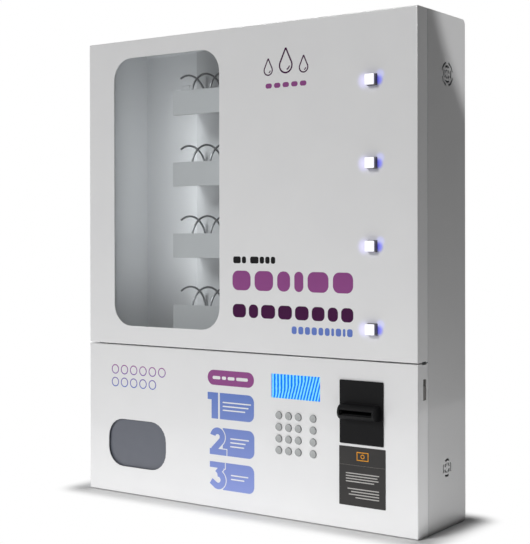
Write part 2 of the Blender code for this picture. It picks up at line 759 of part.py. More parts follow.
def build_electronics():
    """The power supply on the cabinet's floor, and the control board on the back wall."""
    low = Vector(
        (
            RIGHT - SUPPLY_RIGHT_MARGIN - SUPPLY_WIDTH,
            INNER_BACK - SUPPLY_BACK_CLEARANCE - SUPPLY_DEPTH,
            SHEET + SEAT_GAP,
        )
    )
    high = low + Vector((SUPPLY_WIDTH, SUPPLY_DEPTH, SUPPLY_HEIGHT))
    step = box(
        "supply_terminal_step",
        (low.x - CUT_OVERRUN, low.y - CUT_OVERRUN, low.z + SUPPLY_TERMINAL_HEIGHT),
        (low.x + SUPPLY_TERMINAL_LENGTH, high.y + CUT_OVERRUN, high.z + CUT_OVERRUN),
    )
    piece("power_supply", box("power_supply", low, high), BRIGHT_STEEL, cut=(step,))

    rear = INNER_BACK - SEAT_GAP - CONTROL_STANDOFF
    low = Vector((LEFT + CONTROL_LEFT_MARGIN, rear - BOARD_THICKNESS, CONTROL_BOTTOM_HEIGHT))
    high = Vector((low.x + CONTROL_WIDTH, rear, low.z + CONTROL_HEIGHT))
    inset = CONTROL_STANDOFF_INSET
    middle_of_board = (low.y + high.y) / 2
    standoffs = [
        drum(
            "standoff",
            (across, 0, height),
            STANDOFF_RADIUS,
            middle_of_board,
            INNER_BACK - SEAT_GAP,
            "Y",
            SMALL_ROUND_SIDES,
        )
        for across in (low.x + inset, high.x - inset)
        for height in (low.z + inset, high.z - inset)
    ]
    relay_pitch = CONTROL_WIDTH / (RELAY_COUNT + 1)
    relays = []
    for relay in range(RELAY_COUNT):
        across = low.x + relay_pitch * (relay + 1)
        relays.append(
            box(
                "relay",
                (across - RELAY_WIDTH / 2, low.y - RELAY_DEPTH, low.z + 2 * inset),
                (across + RELAY_WIDTH / 2, middle_of_board, low.z + 2 * inset + RELAY_HEIGHT),
            )
        )
    additions = (gathered("control_standoffs", standoffs), gathered("relays", relays))
    piece("control_board", box("control_board", low, high), BOARD_GREEN, joined=additions)


def knuckle_spans(low, high, count):
    """The even lengths of the hinge's knuckles between two heights."""
    step = (high - low) / count
    return [(low + place * step, low + (place + 1) * step) for place in range(count)]


def build_hinge_leaf(name, side, low, high, own, others, door=None):
    """A leaf on the cabinet (side 1) or on a door (side -1), with its own knuckles and room for the others."""
    outer = LEFT - SEAT_GAP
    inner = outer - HINGE_LEAF_THICKNESS
    far = SEAM + side * HINGE_LEAF_WIDTH
    leaf = box(name, (inner, min(SEAM, far), low), (outer, max(SEAM, far), high))
    middle = HINGE_AXIS
    knuckles = [
        drum(
            "knuckle",
            middle,
            HINGE_BARREL_RADIUS,
            start + RUN_GAP / 2,
            end - RUN_GAP / 2,
            "Z",
            SMALL_ROUND_SIDES,
        )
        for start, end in own
    ]
    reach = SEAM + side * (HINGE_BARREL_RADIUS + RUN_GAP)
    past = SEAM - side * CUT_OVERRUN
    notches = [
        box(
            "notch",
            (inner - CUT_OVERRUN, min(past, reach), start - RUN_GAP / 2),
            (outer + CUT_OVERRUN, max(past, reach), end + RUN_GAP / 2),
        )
        for start, end in others
    ]
    bore = drum(
        f"{name}_bore",
        middle,
        HINGE_PIN_RADIUS + SEAT_GAP,
        low - CUT_OVERRUN,
        high + CUT_OVERRUN,
        "Z",
        SMALL_ROUND_SIDES,
    )
    piece(
        name,
        leaf,
        BRIGHT_STEEL,
        door,
        joined=(gathered(f"{name}_knuckles", knuckles),),
        cut=(gathered(f"{name}_notches", notches), bore),
    )


def build_hinge(upper_door, lower_door):
    bottom, top = HINGE_END_MARGIN, CABINET_HEIGHT - HINGE_END_MARGIN
    lower = knuckle_spans(bottom, LOWER_DOOR_TOP, LOWER_KNUCKLES)
    upper = knuckle_spans(UPPER_DOOR_BOTTOM, top, UPPER_KNUCKLES)
    cabinet_own = lower[0::2] + upper[0::2]
    build_hinge_leaf(
        "hinge_cabinet_leaf", 1, bottom, top, cabinet_own, lower[1::2] + upper[1::2]
    )
    build_hinge_leaf(
        "upper_door_hinge_leaf", -1, UPPER_DOOR_BOTTOM, top, upper[1::2], upper[0::2], upper_door
    )
    build_hinge_leaf(
        "lower_door_hinge_leaf", -1, bottom, LOWER_DOOR_TOP, lower[1::2], lower[0::2], lower_door
    )
    pin = drum("hinge_pin", HINGE_AXIS, HINGE_PIN_RADIUS, bottom, top, "Z", SMALL_ROUND_SIDES)
    piece("hinge_pin", pin, BRIGHT_STEEL)


def door_pan(name, bottom, top):
    """A door's folded pan: the whole front and its four returns. Gives the base and its hollow."""
    rear = SEAM - DOOR_TO_CABINET_GAP
    base = box(name, (LEFT, FRONT, bottom), (RIGHT, rear, top), DOOR_EDGE_RADIUS, edges="front")
    hollow = box(
        f"{name}_hollow",
        (INNER_LEFT, DOOR_INSIDE, bottom + SHEET),
        (INNER_RIGHT, rear + CUT_OVERRUN, top - SHEET),
    )
    return base, hollow


def finger_notch(name):
    """Half of it is in each door: an oval notch in the right return, where a finger pulls the door."""
    low = (FRONT + FINGER_NOTCH_SETBACK, DOOR_SPLIT_HEIGHT - FINGER_NOTCH_HEIGHT / 2)
    high = (low[0] + FINGER_NOTCH_LENGTH, low[1] + FINGER_NOTCH_HEIGHT)
    outline = rounded_outline(low, high, FINGER_NOTCH_HEIGHT / 2, steps=4)
    return slab(name, outline, INNER_RIGHT - CUT_OVERRUN, RIGHT + CUT_OVERRUN, "X")


def through_front(name, outline):
    return slab(name, outline, FRONT - CUT_OVERRUN, DOOR_INSIDE + CUT_OVERRUN, "Y")


def square_outline(across, height, size):
    half = size / 2
    return [
        (across - half, height - half),
        (across + half, height - half),
        (across + half, height + half),
        (across - half, height + half),
    ]


def window_outline(lap):
    low = (LEFT + WINDOW_LEFT_MARGIN - lap, UPPER_DOOR_BOTTOM + WINDOW_BOTTOM_MARGIN - lap)
    high = (
        LEFT + WINDOW_LEFT_MARGIN + WINDOW_WIDTH + lap,
        CABINET_HEIGHT - WINDOW_TOP_MARGIN + lap,
    )
    return rounded_outline(low, high, WINDOW_CORNER_RADIUS + lap)


def build_upper_door(door):
    base, hollow = door_pan("upper_door_panel", UPPER_DOOR_BOTTOM, CABINET_HEIGHT)
    window = through_front("window_cutter", window_outline(0))
    sockets = [
        through_front("select_socket", square_outline(SELECT_X, height, SELECT_SIZE + 2 * RUN_GAP))
        for height in SELECT_HEIGHTS
    ]
    cutters = (hollow, window, gathered("select_sockets", sockets), finger_notch("upper_finger_notch"))
    piece("upper_door_panel", base, WHITE_PAINT, door, cut=cutters)

    pane_back = DOOR_SEAT + PANE_THICKNESS
    pane = slab("window_pane", window_outline(PANE_LAP), DOOR_SEAT, pane_back, "Y")
    piece("window_pane", pane, ACRYLIC, door)

    retainer_back = pane_back + SEAT_GAP + SHEET
    retainer = slab("window_retainer", window_outline(RETAINER_LAP), DOOR_SEAT, retainer_back, "Y")
    seat = slab(
        "pane_seat",
        window_outline(PANE_LAP + SEAT_GAP),
        DOOR_SEAT - CUT_OVERRUN,
        pane_back + SEAT_GAP,
        "Y",
    )
    view = slab(
        "retainer_view",
        window_outline(RETAINER_LIP),
        DOOR_SEAT - CUT_OVERRUN,
        retainer_back + CUT_OVERRUN,
        "Y",
    )
    piece("window_retainer", retainer, WHITE_PAINT, door, cut=(seat, view))


def build_select_button(number, height, door):
    name = f"select_button_{number}"
    half = SELECT_SIZE / 2
    flange_back = DOOR_SEAT + SELECT_FLANGE_THICKNESS
    cap = box(
        name,
        (SELECT_X - half, FRONT - SELECT_PROUD, height - half),
        (SELECT_X + half, flange_back, height + half),
        SELECT_EDGE_RADIUS,
        edges="front",
    )
    wide = half + SELECT_FLANGE_LAP
    flange = box(
        "select_flange",
        (SELECT_X - wide, DOOR_SEAT, height - wide),
        (SELECT_X + wide, flange_back, height + wide),
    )
    piece(name, cap, LIT_PLASTIC, door, (SELECT_X, FRONT, height), joined=(flange,))


def build_switch_strip(door):
    """A long board behind the selection buttons, with a switch for each and standoffs to the door."""
    front = DOOR_INSIDE + STRIP_SETBACK
    middle = front + BOARD_THICKNESS / 2
    half = STRIP_WIDTH / 2
    base = box(
        "select_switch_strip",
        (SELECT_X - half, front, SELECT_HEIGHTS[-1] - STRIP_END_MARGIN),
        (SELECT_X + half, front + BOARD_THICKNESS, SELECT_HEIGHTS[0] + STRIP_END_MARGIN),
    )
    switch_front = DOOR_SEAT + SELECT_FLANGE_THICKNESS + SELECT_TRAVEL + RUN_GAP
    reach = SWITCH_SIZE / 2
    switches = [
        box(
            "switch",
            (SELECT_X - reach, switch_front, height - reach),
            (SELECT_X + reach, middle, height + reach),
        )
        for height in SELECT_HEIGHTS
    ]
    standoffs = [
        drum(
            "standoff",
            (SELECT_X, 0, (above + below) / 2),
            STANDOFF_RADIUS,
            DOOR_SEAT,
            middle,
            "Y",
            SMALL_ROUND_SIDES,
        )
        for above, below in zip(SELECT_HEIGHTS, SELECT_HEIGHTS[1:])
    ]
    additions = (gathered("switches", switches), gathered("strip_standoffs", standoffs))
    piece("select_switch_strip", base, BOARD_GREEN, door, joined=additions)


def pickup_outline(lap, corners=(0, 1, 2, 3), top=None):
    low = (LEFT + PICKUP_LEFT_MARGIN - lap, PICKUP_BOTTOM_HEIGHT - lap)
    high = (
        LEFT + PICKUP_LEFT_MARGIN + PICKUP_WIDTH + lap,
        top or PICKUP_BOTTOM_HEIGHT + PICKUP_HEIGHT + lap,
    )
    return rounded_outline(low, high, PICKUP_CORNER_RADIUS + lap, corners=corners)


def display_outline(lap):
    right = RIGHT - DISPLAY_RIGHT_MARGIN
    low = (right - DISPLAY_WIDTH - lap, DISPLAY_BOTTOM_HEIGHT - lap)
    high = (right + lap, DISPLAY_BOTTOM_HEIGHT + DISPLAY_HEIGHT + lap)
    return [low, (high[0], low[1]), high, (low[0], high[1])]


def spout_outline(lap):
    half = BILL_SLOT_WIDTH / 2 + SPOUT_WALL + lap
    rise = BILL_SLOT_HEIGHT / 2 + SPOUT_WALL + lap
    low, high = NOSE_MIDDLE_HEIGHT - rise, NOSE_MIDDLE_HEIGHT + rise
    return [(BILL_X - half, low), (BILL_X + half, low), (BILL_X + half, high), (BILL_X - half, high)]


def key_places():
    """Each key's name and the middle of its seat. The letter keys stand apart from the number keys."""
    places = {}
    for row, names in enumerate(KEY_NAMES):
        for column, name in enumerate(names):
            across = RIGHT - KEY_RIGHT_MARGIN
            if column < 3:
                across -= LETTER_KEY_STEP + (2 - column) * KEY_PITCH
            places[name] = Vector((across, DOOR_INSIDE, KEY_TOP_HEIGHT - row * KEY_PITCH))
    return places


def build_lower_door(door):
    base, hollow = door_pan("lower_door_panel", DOOR_LIFT, LOWER_DOOR_TOP)
    latch_low = (FRONT + LATCH_SLOT_SETBACK, LATCH_SLOT_BOTTOM_HEIGHT)
    latch_high = (latch_low[0] + LATCH_SLOT_WIDTH, latch_low[1] + LATCH_SLOT_HEIGHT)
    latch_slot = box(
        "latch_slot",
        (INNER_RIGHT - CUT_OVERRUN, latch_low[0], latch_low[1]),
        (RIGHT + CUT_OVERRUN, latch_high[0], latch_high[1]),
    )
    key_holes = [
        drum("key_hole", place, KEY_RADIUS + RUN_GAP, FRONT - CUT_OVERRUN, DOOR_INSIDE + CUT_OVERRUN, "Y")
        for place in key_places().values()
    ]
    front_openings = [
        through_front("pickup_cutter", pickup_outline(0)),
        through_front("display_cutter", display_outline(SEAT_GAP)),
        through_front("spout_cutter", spout_outline(SEAT_GAP)),
    ]
    cutters = (
        hollow,
        gathered("front_openings", front_openings),
        gathered("key_holes", key_holes),
        latch_slot,
        finger_notch("lower_finger_notch"),
    )
    piece("lower_door_panel", base, WHITE_PAINT, door, cut=cutters)


def build_display(door):
    """The display's glass stands flush in the door, on a wider body behind the sheet, with its board behind."""
    body_back = DOOR_SEAT + DISPLAY_BODY_DEPTH
    body = slab("display_body", display_outline(DISPLAY_LAP), DOOR_SEAT, body_back, "Y")
    glass = slab("display_panel", display_outline(0), FRONT, body_back - SHEET, "Y")
    piece("display_panel", glass, DISPLAY_GLASS, door, joined=(body,))
    board_front = body_back + SEAT_GAP
    board = slab(
        "display_board", display_outline(DISPLAY_BOARD_LAP), board_front, board_front + BOARD_THICKNESS, "Y"
    )
    piece("display_board", board, BOARD_GREEN, door)


def key_mesh():
    """Half of a key's section, top at +Z, for turning about Z."""
    top = SHEET + KEY_PROUD
    flange_top = -SEAT_GAP
    bottom = flange_top - KEY_FLANGE_THICKNESS
    wide = KEY_RADIUS + KEY_FLANGE_LAP
    section = [
        (0, top),
        (KEY_RADIUS, top),
        (KEY_RADIUS, flange_top),
        (wide, flange_top),
        (wide, bottom),
        (0, bottom),
    ]
    shape = bmesh.new()
    corners = [shape.verts.new((across, 0, height)) for across, height in section]
    for first, second in zip(corners, corners[1:]):
        shape.edges.new((first, second))
    mesh = bpy.data.meshes.new("key")
    shape.to_mesh(mesh)
    shape.free()
    mesh.materials.append(KEY_PLASTIC)
    return mesh


def build_keypad(door):
    mesh = key_mesh()
    for name, place in key_places().items():
        key = bpy.data.objects.new(name, mesh)
        key.rotation_euler = (math.radians(90), 0, 0)
        key.location = place - place_of(door)
        key.parent = door
        PARTS.objects.link(key)
        turn = key.modifiers.new("turned", "SCREW")
        turn.axis = "Z"
        turn.steps = KEY_SIDES
        turn.render_steps = KEY_SIDES
        turn.use_merge_vertices = True
        turn.merge_threshold = 1e-5
        turn.use_smooth_shade = False

    places = list(key_places().values())
    margin = Vector((KEY_RADIUS + KEYPAD_BOARD_MARGIN, 0, KEY_RADIUS + KEYPAD_BOARD_MARGIN))
    front = DOOR_SEAT + KEY_FLANGE_THICKNESS + KEY_TRAVEL + RUN_GAP
    low = Vector((min(place.x for place in places), front, min(place.z for place in places))) - margin
    high = Vector((max(place.x for place in places), front + BOARD_THICKNESS, KEY_TOP_HEIGHT)) + margin
    inset = 2 * STANDOFF_RADIUS
    standoffs = [
        drum(
            "standoff",
            (across, 0, height),
            STANDOFF_RADIUS,
            DOOR_SEAT,
            (low.y + high.y) / 2,
            "Y",
            SMALL_ROUND_SIDES,
        )
        for across in (low.x + inset, high.x - inset)
        for height in (low.z + inset, high.z - inset)
    ]
    board = box("keypad_board", low, high)
    piece(
        "keypad_board", board, BOARD_GREEN, door, joined=(gathered("keypad_standoffs", standoffs),)
    )


def build_bill_acceptor(door):
    plate_back = FRONT - SEAT_GAP
    plate_front = plate_back - BILL_PLATE_THICKNESS
    left = BILL_X - BILL_PLATE_WIDTH / 2
    plate = slab(
        "bill_bezel",
        rounded_outline(
            (left, BILL_PLATE_BOTTOM_HEIGHT),
            (left + BILL_PLATE_WIDTH, BILL_PLATE_BOTTOM_HEIGHT + BILL_PLATE_HEIGHT),
            BILL_PLATE_CORNER_RADIUS,
            steps=2,
        ),
        plate_front,
        plate_back,
        "Y",
    )
    nose_front = FRONT - NOSE_PROUD
    nose_radius = NOSE_HEIGHT / 2
    inside_plate = (plate_front + plate_back) / 2
    side_outline = arc(
        (nose_front + nose_radius, NOSE_MIDDLE_HEIGHT),
        nose_radius,
        math.pi / 2,
        3 * math.pi / 2,
        NOSE_ARC_STEPS,
    )
    side_outline += [
        (inside_plate, NOSE_MIDDLE_HEIGHT - nose_radius),
        (inside_plate, NOSE_MIDDLE_HEIGHT + nose_radius),
    ]
    half_nose = NOSE_WIDTH / 2
    nose = slab("bill_nose", side_outline, BILL_X - half_nose, BILL_X + half_nose, "X")
    spout_back = DOOR_SEAT + SHEET
    spout = slab("bill_spout", spout_outline(0), inside_plate, spout_back, "Y")
    half_slot = BILL_SLOT_WIDTH / 2
    groove_half = half_slot + SPOUT_WALL / 2
    groove = box(
        "bill_groove",
        (BILL_X - groove_half, nose_front - CUT_OVERRUN, NOSE_MIDDLE_HEIGHT - GROOVE_HEIGHT / 2),
        (BILL_X + groove_half, nose_front + GROOVE_DEPTH, NOSE_MIDDLE_HEIGHT + GROOVE_HEIGHT / 2),
    )
    slot = box(
        "bill_slot",
        (BILL_X - half_slot, nose_front - CUT_OVERRUN, NOSE_MIDDLE_HEIGHT - BILL_SLOT_HEIGHT / 2),
        (BILL_X + half_slot, spout_back + CUT_OVERRUN, NOSE_MIDDLE_HEIGHT + BILL_SLOT_HEIGHT / 2),
    )
    piece("bill_bezel", plate, BLACK_PLASTIC, door, joined=(nose, spout), cut=(groove, slot))

    head_front = spout_back + SEAT_GAP
    half_width = VALIDATOR_WIDTH / 2
    stacker_front = head_front + VALIDATOR_HEAD_DEPTH
    overlap = VALIDATOR_EDGE_RADIUS * 2
    top = SHELF_TOP - SHELF_FLANGE_HEIGHT - VALIDATOR_HEADROOM
    head = box(
        "bill_validator",
        (BILL_X - half_width, head_front, NOSE_MIDDLE_HEIGHT - VALIDATOR_HEAD_DROP),
        (BILL_X + half_width, stacker_front + overlap, top - SHEET),
        VALIDATOR_EDGE_RADIUS,
    )
    stacker = box(
        "bill_stacker",
        (BILL_X - half_width - SHEET, stacker_front, top - STACKER_HEIGHT),
        (BILL_X + half_width + SHEET, stacker_front + STACKER_DEPTH, top),
        VALIDATOR_EDGE_RADIUS,
    )
    throat = box(
        "validator_throat",
        (BILL_X - half_slot, head_front - CUT_OVERRUN, NOSE_MIDDLE_HEIGHT - BILL_SLOT_HEIGHT / 2),
        (
            BILL_X + half_slot,
            head_front + VALIDATOR_THROAT_DEPTH,
            NOSE_MIDDLE_HEIGHT + BILL_SLOT_HEIGHT / 2,
        ),
    )
    piece("bill_validator", head, BLACK_PLASTIC, door, joined=(stacker,), cut=(throat,))


def build_flap(door, swing):
    """The pick-up flap hangs by its barrel from a rod between two ears, behind the lower door's sheet."""
    middle = (0, FLAP_AXIS_Y, FLAP_AXIS_HEIGHT)
    left = LEFT + PICKUP_LEFT_MARGIN - FLAP_LAP
    right = LEFT + PICKUP_LEFT_MARGIN + PICKUP_WIDTH + FLAP_LAP
    half = FLAP_THICKNESS / 2
    plate = slab(
        "pickup_flap",
        pickup_outline(FLAP_LAP, corners=(0, 1), top=FLAP_AXIS_HEIGHT),
        FLAP_AXIS_Y - half,
        FLAP_AXIS_Y + half,
        "Y",
    )
    barrel = drum("flap_barrel", middle, FLAP_BARREL_RADIUS, left, right, "X", SMALL_ROUND_SIDES)
    corner = PICKUP_CORNER_RADIUS + FLAP_LAP
    lip_bottom = PICKUP_BOTTOM_HEIGHT - FLAP_LAP
    lip = box(
        "flap_lip",
        (left + corner, FLAP_AXIS_Y, lip_bottom),
        (right - corner, FLAP_AXIS_Y + FLAP_LIP_DEPTH, lip_bottom + FLAP_THICKNESS),
    )
    bore_radius = FLAP_ROD_RADIUS + SEAT_GAP
    bore = drum(
        "flap_bore", middle, bore_radius, left - CUT_OVERRUN, right + CUT_OVERRUN, "X", SMALL_ROUND_SIDES
    )
    axis_middle = ((left + right) / 2, FLAP_AXIS_Y, FLAP_AXIS_HEIGHT)
    piece("pickup_flap", plate, FLAP_PLASTIC, swing, axis_middle, joined=(barrel, lip), cut=(bore,))

    ear_low = FLAP_AXIS_HEIGHT - FLAP_EAR_SIZE / 2
    strap_bottom = FLAP_AXIS_HEIGHT + FLAP_EAR_SIZE / 2
    ears = [
        box(
            "flap_ear",
            (start, DOOR_SEAT, ear_low),
            (start + FLAP_EAR_THICKNESS, DOOR_SEAT + FLAP_EAR_SIZE, strap_bottom + FLAP_EAR_THICKNESS),
        )
        for start in (left - FLAP_EAR_GAP - FLAP_EAR_THICKNESS, right + FLAP_EAR_GAP)
    ]
    rod_ends = (
        left - FLAP_EAR_GAP - FLAP_EAR_THICKNESS / 2,
        right + FLAP_EAR_GAP + FLAP_EAR_THICKNESS / 2,
    )
    rod = drum("flap_rod", middle, FLAP_ROD_RADIUS, *rod_ends, "X", SMALL_ROUND_SIDES)
    strap = box(
        "flap_rod_bracket",
        (left - FLAP_EAR_GAP - FLAP_EAR_THICKNESS, DOOR_SEAT, strap_bottom),
        (
            right + FLAP_EAR_GAP + FLAP_EAR_THICKNESS,
            DOOR_SEAT + SHEET,
            strap_bottom + FLAP_STRAP_HEIGHT,
        ),
    )
    piece("flap_rod_bracket", strap, BRIGHT_STEEL, door, joined=(gathered("flap_ears", ears), rod))


def build_latch(door):
    """A sliding latch bolt: its thumb piece shows in the slot, and its plate runs in a case behind the sheet."""
    slot_front = FRONT + LATCH_SLOT_SETBACK
    slot_back = slot_front + LATCH_SLOT_WIDTH
    slot_bottom = LATCH_SLOT_BOTTOM_HEIGHT
    slot_top = slot_bottom + LATCH_SLOT_HEIGHT
    plate_outer = INNER_RIGHT - SEAT_GAP
    plate_inner = plate_outer - LATCH_PLATE_THICKNESS
    plate_bottom = slot_bottom - LATCH_TRAVEL - LATCH_LAP
    plate_top = slot_top + LATCH_LAP
    plate = box(
        "latch_slide",
        (plate_inner, slot_front - LATCH_LAP, plate_bottom),
        (plate_outer, slot_back + LATCH_LAP, plate_top),
    )
    thumb = box(
        "latch_thumb",
        (plate_outer - SEAT_GAP, slot_front + SEAT_GAP, slot_bottom + SEAT_GAP),
        (RIGHT - LATCH_RECESS, slot_back - SEAT_GAP, slot_top - LATCH_TRAVEL - SEAT_GAP),
    )
    slide_origin = (RIGHT, (slot_front + slot_back) / 2, slot_bottom)
    piece("latch_slide", plate, BLACK_PLASTIC, door, slide_origin, joined=(thumb,))

    low = Vector((INNER_RIGHT - LATCH_CASE_DEPTH, slot_front - LATCH_LAP, plate_bottom - SEAT_GAP))
    high = Vector((plate_outer, slot_back + LATCH_LAP, plate_top + LATCH_TRAVEL + SEAT_GAP))
    wall = Vector((0, LATCH_CASE_WALL, LATCH_CASE_WALL))
    case = box("latch_case", low - wall, high + wall)
    margin = Vector((0, SEAT_GAP, 0))
    channel = box(
        "latch_channel",
        Vector((plate_inner - SEAT_GAP, low.y, low.z)) - margin,
        high + margin + Vector((CUT_OVERRUN, 0, 0)),
    )
    piece("latch_case", case, BRIGHT_STEEL, door, cut=(channel,))


def build_machine():
    upper_door = carrier("upper_door_axis", HINGE_AXIS)
    lower_door = carrier("lower_door_axis", HINGE_AXIS)
    flap_middle = LEFT + PICKUP_LEFT_MARGIN + PICKUP_WIDTH / 2
    flap_swing = carrier("pickup_flap_axis", (flap_middle, FLAP_AXIS_Y, FLAP_AXIS_HEIGHT), lower_door)

    build_cabinet()
    build_middle_shelf()
    build_rack()
    build_pickup_bin()
    build_electronics()
    for number, top in enumerate(TRAY_TOPS, start=1):
        build_tray(number, top)
        build_motor(number, top)
        spinner = carrier(f"coil_{number}_axis", (MOTOR_FLANGE_LEFT, COIL_AXIS_Y, top))
        build_coil(number, top, spinner)

    build_upper_door(upper_door)
    for number, height in enumerate(SELECT_HEIGHTS, start=1):
        build_select_button(number, height, upper_door)
    build_switch_strip(upper_door)

    build_lower_door(lower_door)
    build_display(lower_door)
    build_keypad(lower_door)
    build_bill_acceptor(lower_door)
    build_flap(lower_door, flap_swing)
    build_latch(lower_door)
    build_hinge(upper_door, lower_door)


build_machine()
bpy.context.view_layer.update()
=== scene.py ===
"""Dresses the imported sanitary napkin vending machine.

Metres, +Z up, in the CAD's frame: X runs to the right as seen from the front, Y to the back,
and the origin is the middle of the cabinet's underside.
"""

import json
import math

import bmesh
import bpy
from mathutils import Matrix, Vector

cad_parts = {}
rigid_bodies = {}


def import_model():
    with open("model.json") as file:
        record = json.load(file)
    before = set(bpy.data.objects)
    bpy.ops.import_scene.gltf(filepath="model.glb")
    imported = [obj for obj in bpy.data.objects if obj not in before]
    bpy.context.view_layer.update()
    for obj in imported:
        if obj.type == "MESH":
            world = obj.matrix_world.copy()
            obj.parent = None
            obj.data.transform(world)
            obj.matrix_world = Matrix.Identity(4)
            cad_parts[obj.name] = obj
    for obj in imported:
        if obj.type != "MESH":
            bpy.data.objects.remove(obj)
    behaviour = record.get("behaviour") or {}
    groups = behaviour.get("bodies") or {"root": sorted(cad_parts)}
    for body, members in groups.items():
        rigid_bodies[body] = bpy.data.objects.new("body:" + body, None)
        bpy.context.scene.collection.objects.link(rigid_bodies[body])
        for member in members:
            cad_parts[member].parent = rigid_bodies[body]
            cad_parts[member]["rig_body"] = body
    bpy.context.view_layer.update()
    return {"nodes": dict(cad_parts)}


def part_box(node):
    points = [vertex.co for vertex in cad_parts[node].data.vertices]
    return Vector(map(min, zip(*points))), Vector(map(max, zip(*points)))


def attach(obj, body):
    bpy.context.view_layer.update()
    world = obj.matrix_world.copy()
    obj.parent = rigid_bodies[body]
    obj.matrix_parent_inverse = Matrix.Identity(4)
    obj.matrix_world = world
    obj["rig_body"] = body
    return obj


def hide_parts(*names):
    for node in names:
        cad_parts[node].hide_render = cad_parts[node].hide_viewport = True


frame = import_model()

# Faces of the sheet metal
LEFT = -0.350
RIGHT = 0.350
FRONT = -0.084
BACK = 0.084
DOOR_INSIDE = -0.0825
HEIGHT = 0.840
RETAINER_BACK = -0.0774

# Rows of the machine, top row first
TRAY_TOPS = (0.7504, 0.6168, 0.4832, 0.3496)
SELECT_X = 0.2678
SELECT_HEIGHTS = (0.7292, 0.5956, 0.4620, 0.3284)

# A selection button's cap, and the flange behind the door that it is part of
SELECT_HALF = 0.009
SELECT_PROUD = 0.010
SELECT_EDGE = 0.0016
SELECT_FLANGE_HALF = 0.012
SELECT_FLANGE_FACES = (-0.0822, -0.0802)

# Printed ink and vinyl stand this far out of the paint, and reach this far into it
PRINT_PROUD = 0.00012
PRINT_SUNK = 0.00008

# Directions in the picture plane of the doors
OUTWARD = Vector((0, -1, 0))
RIGHTWARD = Vector((1, 0, 0))
UPWARD = Vector((0, 0, 1))

# Edges: below SMOOTH_ANGLE a piece is shaded smooth, below FLAT_ANGLE two CAD faces are one, and over
# CORNER_ANGLE they meet in a corner to be rounded
SMOOTH_ANGLE = math.radians(40)
FLAT_ANGLE = math.radians(0.5)
CORNER_ANGLE = math.radians(50)


def linear(color):
    """An sRGB hex colour as linear RGBA."""
    shares = [int(color[place : place + 2], 16) / 255 for place in (1, 3, 5)]
    return (*[share / 12.92 if share <= 0.04045 else ((share + 0.055) / 1.055) ** 2.4 for share in shares], 1)


def add(tree, kind, settings=None, links=None):
    """Adds a shader node. settings are its own properties, and links gives inputs their values or sockets."""
    made = tree.nodes.new("ShaderNode" + kind)
    for name, value in (settings or {}).items():
        setattr(made, name, value)
    for name, value in (links or {}).items():
        if isinstance(value, bpy.types.NodeSocket):
            tree.links.new(value, made.inputs[name])
        else:
            made.inputs[name].default_value = value
    return made


def new_finish(name, **values):
    """A material with its Principled shader's plain values set.

    Gives the material, its node tree, the shader, and the place on the piece in object coordinates.
    """
    finish = bpy.data.materials.new(name)
    finish.use_nodes = True
    tree = finish.node_tree
    shader = tree.nodes["Principled BSDF"]
    for socket, value in values.items():
        shader.inputs[socket.replace("_", " ")].default_value = value
    return finish, tree, shader, add(tree, "TexCoord").outputs["Object"]


def varied(tree, shader, pattern, tones=(), glosses=()):
    """Lets a pattern of 0 to 1 carry the shader between two tones, and between two roughnesses."""
    if tones:
        ends = {0: pattern, 6: linear(tones[0]), 7: linear(tones[1])}
        mixed = add(tree, "Mix", {"data_type": "RGBA"}, ends)
        tree.links.new(mixed.outputs[2], shader.inputs["Base Color"])
    if glosses:
        ends = {"Value": pattern, "To Min": glosses[0], "To Max": glosses[1]}
        spread = add(tree, "MapRange", None, ends)
        tree.links.new(spread.outputs[0], shader.inputs["Roughness"])


# Finishes


def nearness(tree, place, middle, reach, inner):
    """1 near a point, fading to 0 at its reach along X, Y and Z. inner is the share of reach kept at 1."""
    off = add(tree, "VectorMath", {"operation": "SUBTRACT"}, {0: place, 1: middle}).outputs[0]
    scaled = add(tree, "VectorMath", {"operation": "DIVIDE"}, {0: off, 1: reach}).outputs[0]
    far = add(tree, "VectorMath", {"operation": "LENGTH"}, {0: scaled}).outputs["Value"]
    fade = {"Value": far, "From Min": inner, "From Max": 1.0, "To Min": 1.0, "To Max": 0.0}
    return add(tree, "MapRange", {"interpolation_type": "SMOOTHERSTEP"}, fade).outputs[0]


# Light that a lit cap throws on the paint round it: what it adds, where its middle is, to the right of
# the cap's middle and above it, how far it reaches along X, Y and Z, and the share of that with full light
CAP_LIGHTS = (
    ("#2c2c54", -0.002, 0.0000, (0.034, 0.04, 0.028), 0.1),
    ("#7a74b4", -0.0158, -0.0008, (0.0160, 0.02, 0.0190), 0.0),
    ("#3c46a8", 0.0150, 0.0080, (0.0120, 0.02, 0.0120), 0.0),
    ("#403cb4", 0.0130, -0.0006, (0.0092, 0.02, 0.0120), 0.1),
)
# Painted shadow and painted blue light beside each cap: the cap's shadow on the paint, filled with its blue
# light, painted into the paint's colour. It is written in the same way, with the most it covers. The light
# counts down to
# CAP_LIGHT_DEPTH behind the door's front face.
CAP_PAINTED_SHADOW = ("#6a74d8", 0.0130, -0.0016, (0.0100, 0.02, 0.0125), 0.15)
CAP_PAINTED_SHADOW_SHARE = 0.8
CAP_LIGHT_DEPTH = 0.0006


def beside_caps(tree, place, heights, along, above, reach, inner):
    """Nearness to a spot beside each lit cap, and where two spots meet the greater of them."""
    spots = [
        nearness(tree, place, (SELECT_X + along, FRONT, height + above), reach, inner) for height in heights
    ]
    most = spots[0]
    for spot in spots[1:]:
        most = add(tree, "Math", {"operation": "MAXIMUM"}, {0: most, 1: spot}).outputs[0]
    return most


